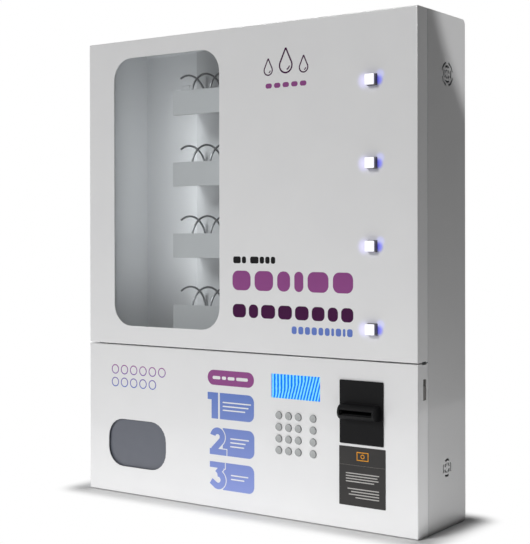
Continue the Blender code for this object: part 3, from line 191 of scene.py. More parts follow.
def powder_coat(name, color, shade, sheen, skin=0.5, lit_heights=()):
    """Polyester powder coat, sprayed dry and baked: a smooth semi-gloss skin with a faint orange peel.

    The peel is drawn 5 mm across, where the real one is 1 to 2 mm, so that it shows. Slow changes of
    gloss and tone 90 mm across are the film's uneven thickness and wiped dust. skin is the share of clear
    gloss on top. Round each lit button the cap's blue light is painted in as a glow, and its shadow filled
    with blue light is painted into the paint's colour.
    """
    finish, tree, shader, place = new_finish(
        name, Base_Color=linear(color), Roughness=sheen, Specular_IOR_Level=0.1, Coat_Weight=skin,
        Coat_Roughness=0.09,
    )
    peel = add(tree, "TexNoise", None, {"Vector": place, "Scale": 1 / 0.005, "Detail": 2.0}).outputs[0]
    wiped = add(tree, "TexNoise", None, {"Vector": place, "Scale": 1 / 0.09, "Detail": 4.0}).outputs[0]
    varied(tree, shader, wiped, (shade, color), (sheen - 0.07, sheen + 0.07))
    bump = add(tree, "Bump", None, {"Height": peel, "Strength": 0.10, "Distance": 0.00012})
    if lit_heights:
        depth = add(tree, "SeparateXYZ", None, {0: place}).outputs["Y"]
        reached = {0: depth, 1: FRONT + CAP_LIGHT_DEPTH}
        outside = add(tree, "Math", {"operation": "LESS_THAN"}, reached).outputs[0]
        glow = (0, 0, 0, 1)
        for light, *spot in CAP_LIGHTS:
            near = beside_caps(tree, place, lit_heights, *spot)
            lit = add(tree, "Math", {"operation": "MULTIPLY"}, {0: near, 1: outside}).outputs[0]
            glow = add(tree, "Mix", {"data_type": "RGBA"}, {0: lit, 6: glow, 7: linear(light)}).outputs[2]
        # Painted shadow and blue light: the cap's shade beside it is painted into the base colour here.
        shadow_tone, *spot = CAP_PAINTED_SHADOW
        near = beside_caps(tree, place, lit_heights, *spot)
        shadow_share = add(tree, "Math", {"operation": "MULTIPLY"}, {0: near, 1: CAP_PAINTED_SHADOW_SHARE}).outputs[0]
        plain = shader.inputs["Base Color"].links[0].from_socket
        ends = {0: shadow_share, 6: plain, 7: linear(shadow_tone)}
        shadowed_color = add(tree, "Mix", {"data_type": "RGBA"}, ends).outputs[2]
        tree.links.new(shadowed_color, shader.inputs["Base Color"])
        tree.links.new(glow, shader.inputs["Emission Color"])
        shader.inputs["Emission Strength"].default_value = 1.0
    tree.links.new(bump.outputs[0], shader.inputs["Normal"])
    return finish


def plated_steel():
    """Zinc-plated sheet steel: bright bluish grey with the plating's soft cloudy spangle, 12 mm across."""
    finish, tree, shader, place = new_finish(
        "zinc_plated_steel", Base_Color=linear("#b9bcc0"), Metallic=1.0, Roughness=0.34
    )
    cloud = add(tree, "TexVoronoi", None, {"Vector": place, "Scale": 1 / 0.012}).outputs["Color"]
    varied(tree, shader, cloud, ("#a9adb2", "#c8cbce"), (0.28, 0.42))
    return finish


def drawn_wire():
    """Hard-drawn spring wire under clear lacquer: dark grey steel, with faint draw marks round the coil."""
    finish, tree, shader, place = new_finish(
        "drawn_spring_wire", Base_Color=linear("#8d8f92"), Metallic=1.0, Roughness=0.3
    )
    marks = add(tree, "TexNoise", None, {"Vector": place, "Scale": 1 / 0.0025, "Detail": 3.0}).outputs[0]
    varied(tree, shader, marks, ("#76787b", "#a3a5a8"), (0.22, 0.42))
    return finish


def clear_acrylic():
    """Cast acrylic sheet: clear, faintly grey, with a mirror gloss that grows towards a grazing look."""
    finish = bpy.data.materials.new("cast_clear_acrylic")
    finish.use_nodes = True
    tree = finish.node_tree
    tree.nodes.remove(tree.nodes["Principled BSDF"])
    place = add(tree, "TexCoord").outputs["Object"]
    wipe = add(tree, "TexNoise", None, {"Vector": place, "Scale": 1 / 0.06, "Detail": 5.0}).outputs[0]
    haze = add(tree, "MapRange", None, {"Value": wipe, "To Min": 0.02, "To Max": 0.10}).outputs[0]
    through = add(tree, "BsdfTransparent", None, {"Color": linear("#fafbfb")}).outputs[0]
    mirror = add(tree, "BsdfGlossy", None, {"Color": linear("#ffffff"), "Roughness": haze}).outputs[0]
    facing = add(tree, "LayerWeight", None, {"Blend": 0.5}).outputs["Facing"]
    steep = add(tree, "Math", {"operation": "POWER"}, {0: facing, 1: 5.0}).outputs[0]
    gloss = add(tree, "MapRange", None, {"Value": steep, "To Min": 0.022, "To Max": 0.9}).outputs[0]
    share = add(tree, "MixShader", None, {0: gloss, 1: through, 2: mirror}).outputs[0]
    tree.links.new(share, tree.nodes["Material Output"].inputs["Surface"])
    return finish


def lit_button():
    """Translucent white polycarbonate over a lamp: the face glows white.

    The shade on its sides is painted in as a dull grey base colour.
    """
    # The dull grey base colour is painted shade for the cap's sides.
    finish, tree, shader, place = new_finish(
        "lit_polycarbonate", Base_Color=linear("#6c6a66"), Roughness=0.32, Emission_Color=linear("#f4f4ff")
    )
    depth = add(tree, "SeparateXYZ", None, {0: place}).outputs["Y"]
    face = FRONT - SELECT_PROUD
    edge = face + SELECT_EDGE
    fade = {"Value": depth, "From Min": face + 0.0002, "From Max": edge, "To Min": 1.0, "To Max": 0.0}
    light = add(tree, "MapRange", {"interpolation_type": "SMOOTHSTEP"}, fade).outputs[0]
    grain = add(tree, "TexNoise", None, {"Vector": place, "Scale": 1 / 0.0015}).outputs[0]
    varied(tree, shader, grain, glosses=(0.26, 0.38))
    tree.links.new(light, shader.inputs["Emission Strength"])
    return finish


def moulded(name, color, worn, sheen, grain, mirror=0.5):
    """Injection-moulded plastic: an even colour with the mould's fine spark texture, and handling shine."""
    finish, tree, shader, place = new_finish(
        name, Base_Color=linear(color), Roughness=sheen, Specular_IOR_Level=mirror
    )
    spark = add(tree, "TexNoise", None, {"Vector": place, "Scale": 1 / grain, "Detail": 3.0}).outputs[0]
    rubbed = add(tree, "TexNoise", None, {"Vector": place, "Scale": 1 / 0.02, "Detail": 3.0}).outputs[0]
    varied(tree, shader, rubbed, (color, worn), (sheen - 0.1, sheen + 0.1))
    bump = add(tree, "Bump", None, {"Height": spark, "Strength": 0.25, "Distance": grain / 10})
    tree.links.new(bump.outputs[0], shader.inputs["Normal"])
    return finish


def nickel_key():
    """Satin nickel plate over a moulded key: soft grey metal. Its turned marks are drawn coarser, to show."""
    finish, tree, shader, place = new_finish(
        "satin_nickel_plate", Base_Color=linear("#8f9191"), Metallic=0.45, Roughness=0.42
    )
    brushed = add(tree, "Mapping", None, {"Vector": place, "Scale": (1 / 0.0008, 60.0, 1 / 0.012)}).outputs[0]
    marks = add(tree, "TexNoise", None, {"Vector": brushed, "Scale": 1.0, "Detail": 2.0}).outputs[0]
    varied(tree, shader, marks, ("#888a8a", "#969898"), (0.34, 0.5))
    return finish


# The display's bands. Below a line that rises to the right, given by its slope and its height at X = 0, they
# lean by BAND_LEAN for each metre down.
BAND_PITCH = 0.0069
BAND_SHIVER = 0.0016
BAND_LEAN = 0.33
LEAN_LINE_SLOPE = 0.432
LEAN_LINE_HEIGHT = 0.1766


def lit_display():
    """Backlit character display behind acrylic: bright blue, crossed by pale refresh bands that shiver."""
    finish, tree, shader, place = new_finish(
        "backlit_display", Base_Color=linear("#04121f"), Roughness=0.16, Specular_IOR_Level=0.05
    )
    parts = add(tree, "SeparateXYZ", None, {0: place})
    across, height = parts.outputs["X"], parts.outputs["Z"]
    risen = {0: across, 1: LEAN_LINE_SLOPE, 2: LEAN_LINE_HEIGHT}
    line = add(tree, "Math", {"operation": "MULTIPLY_ADD"}, risen).outputs[0]
    under = add(tree, "Math", {"operation": "SUBTRACT"}, {0: line, 1: height}).outputs[0]
    lowered = add(tree, "Math", {"operation": "MAXIMUM"}, {0: under, 1: 0.0}).outputs[0]
    leant = {0: lowered, 1: BAND_LEAN, 2: across}
    slid = add(tree, "Math", {"operation": "MULTIPLY_ADD"}, leant).outputs[0]
    shiver = add(tree, "TexNoise", None, {"Vector": place, "Scale": 1 / 0.005, "Detail": 1.0}).outputs[0]
    shaken = {0: shiver, 1: BAND_SHIVER, 2: slid}
    moved = add(tree, "Math", {"operation": "MULTIPLY_ADD"}, shaken).outputs[0]
    turns = add(tree, "Math", {"operation": "MULTIPLY"}, {0: moved, 1: 2 * math.pi / BAND_PITCH}).outputs[0]
    wave = add(tree, "Math", {"operation": "SINE"}, {0: turns}).outputs[0]
    band = add(
        tree, "MapRange", {"interpolation_type": "SMOOTHSTEP"},
        {"Value": wave, "From Min": -0.40, "From Max": 0.20},
    ).outputs[0]
    light = add(
        tree, "Mix", {"data_type": "RGBA"}, {0: band, 6: linear("#86e2ff"), 7: linear("#007cff")}
    ).outputs[2]
    tree.links.new(light, shader.inputs["Emission Color"])
    shader.inputs["Emission Strength"].default_value = 1.0
    return finish


def circuit_board():
    """Glass-fibre board under green solder mask: copper tracks show as paler lines, drawn wide to show."""
    finish, tree, shader, place = new_finish(
        "green_solder_mask", Base_Color=linear("#1c6b3c"), Roughness=0.36
    )
    flat = add(tree, "Mapping", None, {"Vector": place, "Rotation": (math.radians(90), 0, 0)}).outputs[0]
    tracks = add(
        tree,
        "TexBrick",
        {"offset": 0.37, "squash": 0.7, "squash_frequency": 3},
        {
            "Vector": flat, "Color1": linear("#1a6439"), "Color2": linear("#1f7242"),
            "Mortar": linear("#3f9a5f"), "Scale": 1.0, "Mortar Size": 0.0004, "Brick Width": 0.017,
            "Row Height": 0.0042,
        },
    )
    bump = add(
        tree, "Bump", {"invert": True}, {"Height": tracks.outputs["Fac"], "Strength": 0.3, "Distance": 0.0001}
    )
    tree.links.new(tracks.outputs["Color"], shader.inputs["Base Color"])
    tree.links.new(bump.outputs[0], shader.inputs["Normal"])
    return finish


def screen_ink(name, low_color, high_color=None, low=0, high=1):
    """Screen-printed ink on the paint: a thin even film, slightly glossier where it is thick.

    With a second colour it fades from the first at the height low to the second at the height high.
    """
    finish, tree, shader, place = new_finish(
        name, Base_Color=linear(low_color), Roughness=0.38, Specular_IOR_Level=0.12
    )
    height = add(tree, "SeparateXYZ", None, {0: place}).outputs["Z"]
    share = add(tree, "MapRange", None, {"Value": height, "From Min": low, "From Max": high}).outputs[0]
    film = add(tree, "TexNoise", None, {"Vector": place, "Scale": 1 / 0.006, "Detail": 3.0}).outputs[0]
    varied(tree, shader, share, (low_color, high_color or low_color))
    varied(tree, shader, film, glosses=(0.32, 0.46))
    return finish


WHITE_COAT = powder_coat("white_powder_coat", "#e8e8e8", "#e2e2e3", 0.40)
# A darker copy of the doors' white coat, with less clear gloss, for the cabinet's shaded right side: painted
# shade.
SHADED_CABINET_COAT = powder_coat("white_powder_coat_of_the_cabinet", "#d6d6d6", "#d0d0d1", 0.40, 0.28)
GLOWING_COAT = powder_coat(
    "white_powder_coat_round_lit_buttons", "#e8e8e8", "#e2e2e3", 0.40, 0.5, SELECT_HEIGHTS
)
INNER_COAT = powder_coat("pale_grey_powder_coat_inside", "#dfe1e3", "#d8dadd", 0.45, 0.3)
GREY_COAT = powder_coat("light_grey_powder_coat", "#c9cbcd", "#c1c3c6", 0.38, 0.3)
PLATED_STEEL = plated_steel()
SPRING_WIRE = drawn_wire()
ACRYLIC = clear_acrylic()
LIT_BUTTON = lit_button()
NICKEL_KEY = nickel_key()
BLACK_ABS = moulded("textured_black_abs", "#0c0c0d", "#121213", 0.5, 0.0016, 0.08)
SLOT_BLACK = moulded("matt_black_abs", "#050506", "#0a0a0b", 0.6, 0.0016, 0.1)
LATCH_ABS = moulded("grey_latch_abs", "#45423f", "#4e4b48", 0.45, 0.002, 0.2)
SMOKED_FLAP = moulded("smoked_polycarbonate", "#5d6069", "#585b64", 0.34, 0.004, 0.35)
NATURAL_NYLON = moulded("natural_nylon", "#dcdad0", "#cfccbf", 0.45, 0.002)
MOTOR_PLASTIC = moulded("dark_gearbox_plastic", "#2a2b2d", "#35363a", 0.5, 0.002)
WHITE_CONNECTOR = moulded("white_connector_nylon", "#e4e2da", "#d6d3c8", 0.45, 0.002)
RELAY_BLUE = moulded("blue_relay_case", "#2c5fb0", "#2a56a0", 0.35, 0.002)
CAPACITOR_SLEEVE = moulded("capacitor_sleeve", "#1d2230", "#262c3c", 0.3, 0.002)
DISPLAY_LIT = lit_display()
BOARD_GREEN = circuit_board()
NOTICE_VINYL = moulded("charcoal_notice_plate", "#2b2a2a", "#353332", 0.42, 0.003, 0.15)
RUBBER = moulded("black_rubber", "#101011", "#1b1b1c", 0.7, 0.002, 0.3)
WHITE_INK = screen_ink("white_ink", "#e8e8e8")


# Shapes


def edges_over(shape, angle):
    return [edge for edge in shape.edges if len(edge.link_faces) == 2 and edge.calc_face_angle(0) > angle]


def eased(shape, edges, radius, segments=2):
    bmesh.ops.bevel(
        shape, geom=edges, offset=radius, segments=segments, profile=0.5, affect="EDGES", material=-1,
        clamp_overlap=True,
    )


def block(shape, low, high, radius=0.0, segments=2, finish=0):
    """Adds a box between two corners to the shape, its edges rounded."""
    low, high = Vector(low), Vector(high)
    part = bmesh.new()
    scale = Matrix.Diagonal((*(high - low), 1))
    bmesh.ops.create_cube(part, size=1, matrix=Matrix.Translation((low + high) / 2) @ scale)
    if radius:
        eased(part, part.edges[:], radius, segments)
    join(shape, part, finish)


def centred(shape, middle, half, faces, radius=0.0, segments=2, finish=0):
    """Adds a box about an (X, Z) point, by its half width and half height, between two faces along Y."""
    across, height = middle
    wide, tall = half
    low = (across - wide, min(faces), height - tall)
    high = (across + wide, max(faces), height + tall)
    block(shape, low, high, radius, segments, finish)


def join(shape, part, finish=0):
    """Adds one bmesh to another, with its faces in one of the piece's finishes."""
    for face in part.faces:
        face.material_index = finish
    carried = bpy.data.meshes.new("carried")
    part.to_mesh(carried)
    part.free()
    shape.from_mesh(carried)
    bpy.data.meshes.remove(carried)


def turned(shape, profile, middle, along, steps=24, finish=0):
    """Adds a turned part: its profile of (radius, distance along the axis) points, spun round the axis."""
    along = Vector(along)
    out = along.orthogonal().normalized()
    middle = Vector(middle)
    part = bmesh.new()
    corners = [part.verts.new(middle + out * radius + along * reach) for radius, reach in profile]
    for first, second in zip(corners, corners[1:]):
        part.edges.new((first, second))
    bmesh.ops.spin(
        part, geom=part.verts[:] + part.edges[:], cent=middle, axis=along, dvec=(0, 0, 0), angle=2 * math.pi,
        steps=steps, use_merge=True, use_duplicate=False,
    )
    bmesh.ops.remove_doubles(part, verts=part.verts, dist=1e-6)
    join(shape, part, finish)


def printed(shape, low, high, radius, finish=0, proud=PRINT_PROUD, sharp=()):
    """Adds a thin rounded plate to the front of a door, between two (X, Z) corners.

    Corners named in sharp stay square. Each is a pair of signs along X and Z, so (-1, 1) is the upper left.
    """
    part = bmesh.new()
    middle = Vector(((low[0] + high[0]) / 2, 0, (low[1] + high[1]) / 2))
    size = (high[0] - low[0], high[1] - low[1])
    lying = Matrix.Translation(middle) @ Matrix.Rotation(math.radians(90), 4, "X")
    bmesh.ops.create_grid(part, x_segments=1, y_segments=1, size=0.5, matrix=lying)
    bmesh.ops.scale(part, vec=(size[0], 1, size[1]), verts=part.verts, space=Matrix.Translation(-middle))
    rounded = [
        corner
        for corner in part.verts
        if (math.copysign(1, corner.co.x - middle.x), math.copysign(1, corner.co.z - middle.z)) not in sharp
    ]
    if radius and rounded:
        bmesh.ops.bevel(
            part, geom=rounded, offset=min(radius, min(size) / 2 * 0.999), segments=8, profile=0.5,
            affect="VERTICES", material=-1,
        )
    thicken(part, FRONT - proud, FRONT + PRINT_SUNK)
    join(shape, part, finish)


def thicken(part, front, back):
    """Gives flat faces in the doors' plane a thickness, from front to back along Y."""
    bmesh.ops.translate(part, vec=(0, back, 0), verts=part.verts)
    grown = bmesh.ops.extrude_face_region(part, geom=part.faces[:])
    moved = [item for item in grown["geom"] if isinstance(item, bmesh.types.BMVert)]
    bmesh.ops.translate(part, vec=(0, front - back, 0), verts=moved)


def printed_ring(shape, middle, outer, inner, finish, proud=PRINT_PROUD):
    """Adds a thin flat ring to the front of a door."""
    out, back = proud, -PRINT_SUNK
    profile = [(inner, back), (outer, back), (outer, out), (inner, out), (inner, back)]
    turned(shape, profile, (middle[0], FRONT, middle[1]), OUTWARD, 28, finish)


def finished(name, shape, finishes, body, stands_for=()):
    """Makes a bmesh a piece: faces outwards, finishes on, riding on its body."""
    bmesh.ops.recalc_face_normals(shape, faces=shape.faces)
    mesh = bpy.data.meshes.new(name)
    shape.to_mesh(mesh)
    shape.free()
    for finish in finishes if isinstance(finishes, (list, tuple)) else (finishes,):
        mesh.materials.append(finish)
    mesh.shade_smooth()
    mesh.set_sharp_from_angle(angle=SMOOTH_ANGLE)
    made = bpy.data.objects.new(name, mesh)
    bpy.context.scene.collection.objects.link(made)
    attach(made, body)
    if stands_for:
        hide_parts(*stands_for)
    return made


def on_rim(place, low, high):
    """Whether a point is on the outer edge of a door's front face."""
    beside = min(abs(place.x - low[0]), abs(place.x - high[0]), abs(place.z - low[2]), abs(place.z - high[2]))
    return abs(place.y - FRONT) < 0.0001 and beside < 0.0001


def softened(node, name, finishes, radius, segments=2, room=None, fold=0.0):
    """The CAD node's own shape with its sharp edges eased, as folded sheet and machined parts have them.

    Faces whose middle lies within room, a pair of corners, take the second finish. fold is the outer
    radius of a door's four folds.
    """
    cad = frame["nodes"][node]
    shape = bmesh.new()
    shape.from_mesh(cad.data)
    for face in shape.faces:
        middle = face.calc_center_median()
        inside = room and all(low < at < high for low, at, high in zip(room[0], middle, room[1]))
        face.material_index = 1 if inside else 0
    bmesh.ops.remove_doubles(shape, verts=shape.verts, dist=2e-5)
    bmesh.ops.dissolve_limit(
        shape, angle_limit=FLAT_ANGLE, use_dissolve_boundaries=False, verts=shape.verts, edges=shape.edges,
    )
    if fold:
        low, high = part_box(node)
        rims = [
            edge
            for edge in edges_over(shape, CORNER_ANGLE)
            if on_rim(edge.verts[0].co, low, high) and on_rim(edge.verts[1].co, low, high)
        ]
        eased(shape, rims, fold, 4)
    eased(shape, edges_over(shape, CORNER_ANGLE), radius, segments)
    made = finished(name, shape, finishes, cad["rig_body"], (node,))
    weighted = made.modifiers.new("even_faces", "WEIGHTED_NORMAL")
    weighted.keep_sharp = True
    return made


# Outlines of a pan head with its recess and of a rivet's dome, as shares of the head's radius
SCREW_HEAD_SHARES = ((0, 0.22), (0.42, 0.22), (0.58, 0.54), (0.88, 0.46), (1.0, 0.16), (1.0, -0.4))
RIVET_HEAD_SHARES = ((0, 0.36), (0.5, 0.30), (0.85, 0.14), (1.0, 0), (1.0, -0.3))


def fixing(shape, place, along, radius, finish=0, outline=SCREW_HEAD_SHARES):
    """Adds the head of a screw or rivet that stands on a face."""
    turned(shape, [(out * radius, rise * radius) for out, rise in outline], place, along, 16, finish)


# Camera, lamps, floor and backdrop

LENS = 80.19
SENSOR_WIDTH = 36
PICTURE_RISE = -0.0607
CAMERA_PLACE = (1.24841, -1.77206, 0.48169)
CAMERA_ANGLES = (89.7658, 0.1035, 35.2091)

# Soft lamps: name, place, what each points at, width, height and power. The paint mirrors only the first.
FLOOR_LAMP_HEIGHT = 0.002
SOFT_LAMPS = (
    ("key_softbox", (-5.4, -14.0, 9.0), (0, 0, 0.42), 5.2, 5.2, 1640),
    ("lit_floor_before", (-0.20, -0.484, FLOOR_LAMP_HEIGHT), (-0.20, -0.484, 1.0), 2.00, 0.80, 3.6),
    ("lit_floor_beside", (0.63, 0.50, FLOOR_LAMP_HEIGHT), (0.63, 0.50, 1.0), 0.54, 1.60, 1.1),
    ("light_behind_door", (-0.015, -0.062, 0.57), (-0.30, 0.05, 0.56), 0.02, 0.36, 0.03),
    ("light_beside_trays", (-0.235, -0.012, 0.56), (-0.256, 0.0825, 0.56), 0.02, 0.42, 0.145),
)
SPOT_PLACE = (3.2, 1.1, 1.5)
SPOT_AIM = (0.35, 0.671, 1.217)
SPOT_POWER = 184
SPOT_ANGLE = math.radians(28.9)
SPOT_EDGE_SHARE = 0.03
SPOT_RADIUS = 0.02

# The floor fades to the white backdrop over FLOOR_FADE. Its lit part glows brighter by LIT_EXTRA for glossy
# rays alone, a painted reflection in the paint's gloss. It ends on the right at LIT_RIGHT and in front at
# LIT_REACH, counted along LIT_WAY.
FLOOR_HALF_SIZE = 5
FLOOR_FADE = 0.07
LIT_RIGHT = 1.0
LIT_WAY = (-0.5765, -0.8171, 0)
LIT_REACH = 0.98
LIT_EXTRA = 1.3


def build_camera():
    data = bpy.data.cameras.new("photo_camera")
    data.lens = LENS
    data.sensor_width = SENSOR_WIDTH
    data.shift_y = PICTURE_RISE
    data.clip_end = 30
    camera = bpy.data.objects.new("photo_camera", data)
    camera.location = CAMERA_PLACE
    camera.rotation_euler = [math.radians(angle) for angle in CAMERA_ANGLES]
    bpy.context.scene.collection.objects.link(camera)
    bpy.context.scene.camera = camera


def placed_lamp(lamp, place, aim):
    """Puts a lamp in the scene, pointed at a place."""
    lamp.location = place
    lamp.rotation_euler = (Vector(aim) - Vector(place)).to_track_quat("-Z", "Y").to_euler()
    bpy.context.scene.collection.objects.link(lamp)


def build_lamps():
    """A softbox high on the left in front, the lit floor, two narrow lights hidden inside, and a spot.

    The lit floor lies before the front and beside the right side. The hidden lights are behind the door and
    beside the trays, and the spot falls on the right side's top corner.
    """
    for name, place, aim, width, height, power in SOFT_LAMPS:
        data = bpy.data.lights.new(name, "AREA")
        data.shape = "RECTANGLE"
        data.size, data.size_y = width, height
        data.energy = power
        lamp = bpy.data.objects.new(name, data)
        lamp.visible_camera = False
        lamp.visible_glossy = name == "key_softbox"
        placed_lamp(lamp, place, aim)
    data = bpy.data.lights.new("side_patch_spot", "SPOT")
    data.energy = SPOT_POWER
    data.spot_size = SPOT_ANGLE
    data.spot_blend = SPOT_EDGE_SHARE
    data.shadow_soft_size = SPOT_RADIUS
    placed_lamp(bpy.data.objects.new("side_patch_spot", data), SPOT_PLACE, SPOT_AIM)


def seen_ray(tree):
    """1 for a ray that shows the backdrop: straight, mirrored or through glass."""
    path = add(tree, "LightPath")
    either = add(
        tree, "Math", {"operation": "MAXIMUM"},
        {0: path.outputs["Is Camera Ray"], 1: path.outputs["Is Glossy Ray"]},
    ).outputs[0]
    return add(
        tree, "Math", {"operation": "MAXIMUM"}, {0: either, 1: path.outputs["Is Transmission Ray"]}
    ).outputs[0]


def build_backdrop():
    world = bpy.data.worlds.new("white_studio")
    world.use_nodes = True
    bpy.context.scene.world = world
    tree = world.node_tree
    shown = seen_ray(tree)
    light = add(tree, "Background", None, {"Color": linear("#ffffff"), "Strength": 0.0}).outputs[0]
    white = add(tree, "Background", None, {"Color": linear("#ffffff"), "Strength": 1.0}).outputs[0]
    either = add(tree, "MixShader", None, {0: shown, 1: light, 2: white}).outputs[0]
    tree.links.new(either, tree.nodes["World Output"].inputs["Surface"])


def build_floor():
    """A plain pale floor that keeps the machine's soft shadow and fades to the white backdrop.

    What the paint's gloss mirrors is brighter on the lit floor round the machine than on the backdrop: there
    the floor glows for glossy rays alone, a painted reflection.
    """
    shape = bmesh.new()
    bmesh.ops.create_grid(shape, x_segments=1, y_segments=1, size=FLOOR_HALF_SIZE)
    mesh = bpy.data.meshes.new("studio_floor")
    shape.to_mesh(mesh)
    shape.free()
    floor = bpy.data.objects.new("studio_floor", mesh)
    bpy.context.scene.collection.objects.link(floor)
    finish, tree, shader, place = new_finish("pale_floor", Base_Color=linear("#f2f2f2"), Roughness=0.9)
    shown = seen_ray(tree)
    beside = add(tree, "VectorMath", {"operation": "ABSOLUTE"}, {0: place}).outputs[0]
    past = add(tree, "VectorMath", {"operation": "SUBTRACT"}, {0: beside, 1: (RIGHT, BACK, 0)}).outputs[0]
    outside = add(tree, "VectorMath", {"operation": "MAXIMUM"}, {0: past, 1: (0, 0, 0)}).outputs[0]
    far = add(tree, "VectorMath", {"operation": "LENGTH"}, {0: outside}).outputs["Value"]
    away = add(
        tree, "MapRange", {"interpolation_type": "SMOOTHERSTEP"},
        {"Value": far, "From Min": 0.0, "From Max": FLOOR_FADE},
    ).outputs[0]
    share = add(tree, "Math", {"operation": "MULTIPLY"}, {0: shown, 1: away}).outputs[0]
    parts = add(tree, "SeparateXYZ", None, {0: place})
    rightward = add(
        tree, "Math", {"operation": "LESS_THAN"}, {0: parts.outputs["X"], 1: LIT_RIGHT}
    ).outputs[0]
    toward = add(
        tree, "VectorMath", {"operation": "DOT_PRODUCT"}, {0: place, 1: LIT_WAY}
    ).outputs["Value"]
    forward = add(tree, "Math", {"operation": "LESS_THAN"}, {0: toward, 1: LIT_REACH}).outputs[0]
    lit = add(tree, "Math", {"operation": "MULTIPLY"}, {0: rightward, 1: forward}).outputs[0]
    # Painted reflection: this extra glow shows only in the paint's gloss.
    glossy = add(tree, "LightPath").outputs["Is Glossy Ray"]
    extra = add(tree, "Math", {"operation": "MULTIPLY"}, {0: lit, 1: glossy}).outputs[0]
    strength = add(tree, "Math", {"operation": "MULTIPLY_ADD"}, {0: extra, 1: LIT_EXTRA, 2: 1.0}).outputs[0]
    white = add(tree, "Emission", None, {"Color": linear("#ffffff"), "Strength": strength}).outputs[0]
    mixed = add(tree, "MixShader", None, {0: share, 1: shader.outputs[0], 2: white}).outputs[0]
    tree.links.new(mixed, tree.nodes["Material Output"].inputs["Surface"])
    mesh.materials.append(finish)


# Sheet metal


def build_sheet_metal():
    """Cabinet, doors, shelf, bin, rack and trays: the CAD's folds, with paint rounding their cut edges."""
    inside = ((LEFT + 0.001, DOOR_INSIDE - 0.001, 0.001), (RIGHT - 0.001, BACK - 0.001, HEIGHT - 0.001))
    softened("cabinet_shell", "cabinet_sheet", (SHADED_CABINET_COAT, INNER_COAT), 0.0004, 2, inside)
    softened("upper_door_panel", "upper_door_sheet", GLOWING_COAT, 0.0004, fold=0.0014)
    softened("lower_door_panel", "lower_door_sheet", WHITE_COAT, 0.0004, fold=0.0014)
    softened("window_retainer", "window_retainer_frame", WHITE_COAT, 0.0003)
    softened("middle_shelf", "shelf_sheet", INNER_COAT, 0.0004)
    softened("rack_frame", "rack_sheet", GREY_COAT, 0.0004)
    softened("pickup_bin", "bin_sheet", GREY_COAT, 0.0003)
    for row in range(1, 5):
        softened(f"shelf_tray_{row}", f"tray_channel_{row}", GREY_COAT, 0.0004)


HINGE_OUTER_X = -0.3515
HINGE_RIVET_PITCH = 0.0635


def build_hinge():
    for node, name in (
        ("hinge_cabinet_leaf", "cabinet_leaf"),
        ("upper_door_hinge_leaf", "upper_door_leaf"),
        ("lower_door_hinge_leaf", "lower_door_leaf"),
        ("hinge_pin", "hinge_rod"),
        ("latch_case", "latch_housing"),
        ("flap_rod_bracket", "flap_bracket"),
    ):
        softened(node, name, PLATED_STEEL, 0.0002)
    for name, body, depth, low, high in (
        ("cabinet_leaf_rivets", "cabinet", -0.034, 0.004, 0.836),
        ("upper_leaf_rivets", "upper_door", -0.066, 0.278, 0.836),
        ("lower_leaf_rivets", "lower_door", -0.066, 0.004, 0.276),
    ):
        rivets = bmesh.new()
        count = round((high - low) / HINGE_RIVET_PITCH)
        for rivet in range(count):
            height = low + (high - low) * (rivet + 0.5) / count
            fixing(rivets, (HINGE_OUTER_X, depth, height), -RIGHTWARD, 0.0028, 0, RIVET_HEAD_SHARES)
        finished(name, rivets, PLATED_STEEL, body)


TRAY_RIVETS_X = (-0.185, -0.085, 0.015, 0.115, 0.215)
TRAY_RIVETS_DROP = 0.024
TRAY_BACK_FRONT = 0.0618
RACK_BACK = 0.0646
RETAINER_SIDES = (-0.3053, -0.0227)
RETAINER_ENDS = (0.2944, 0.8253)
GROMMET_MIDDLE = (0.280, 0.0821, 0.030)

# Plates laid over the solids' four open keyholes from inside, so that the back wall looks whole through the
# window. They are in the visual model alone. KEYHOLE_MARGINS gives how far the holes' heads are from the
# cabinet's sides, and from its top and its foot.
KEYHOLE_MARGINS = (0.100, 0.090)
PLATE_FACES = (0.0812, 0.0824)
PLATE_HALF_WIDTH = 0.010
PLATE_BELOW = 0.010
PLATE_ABOVE = 0.0225


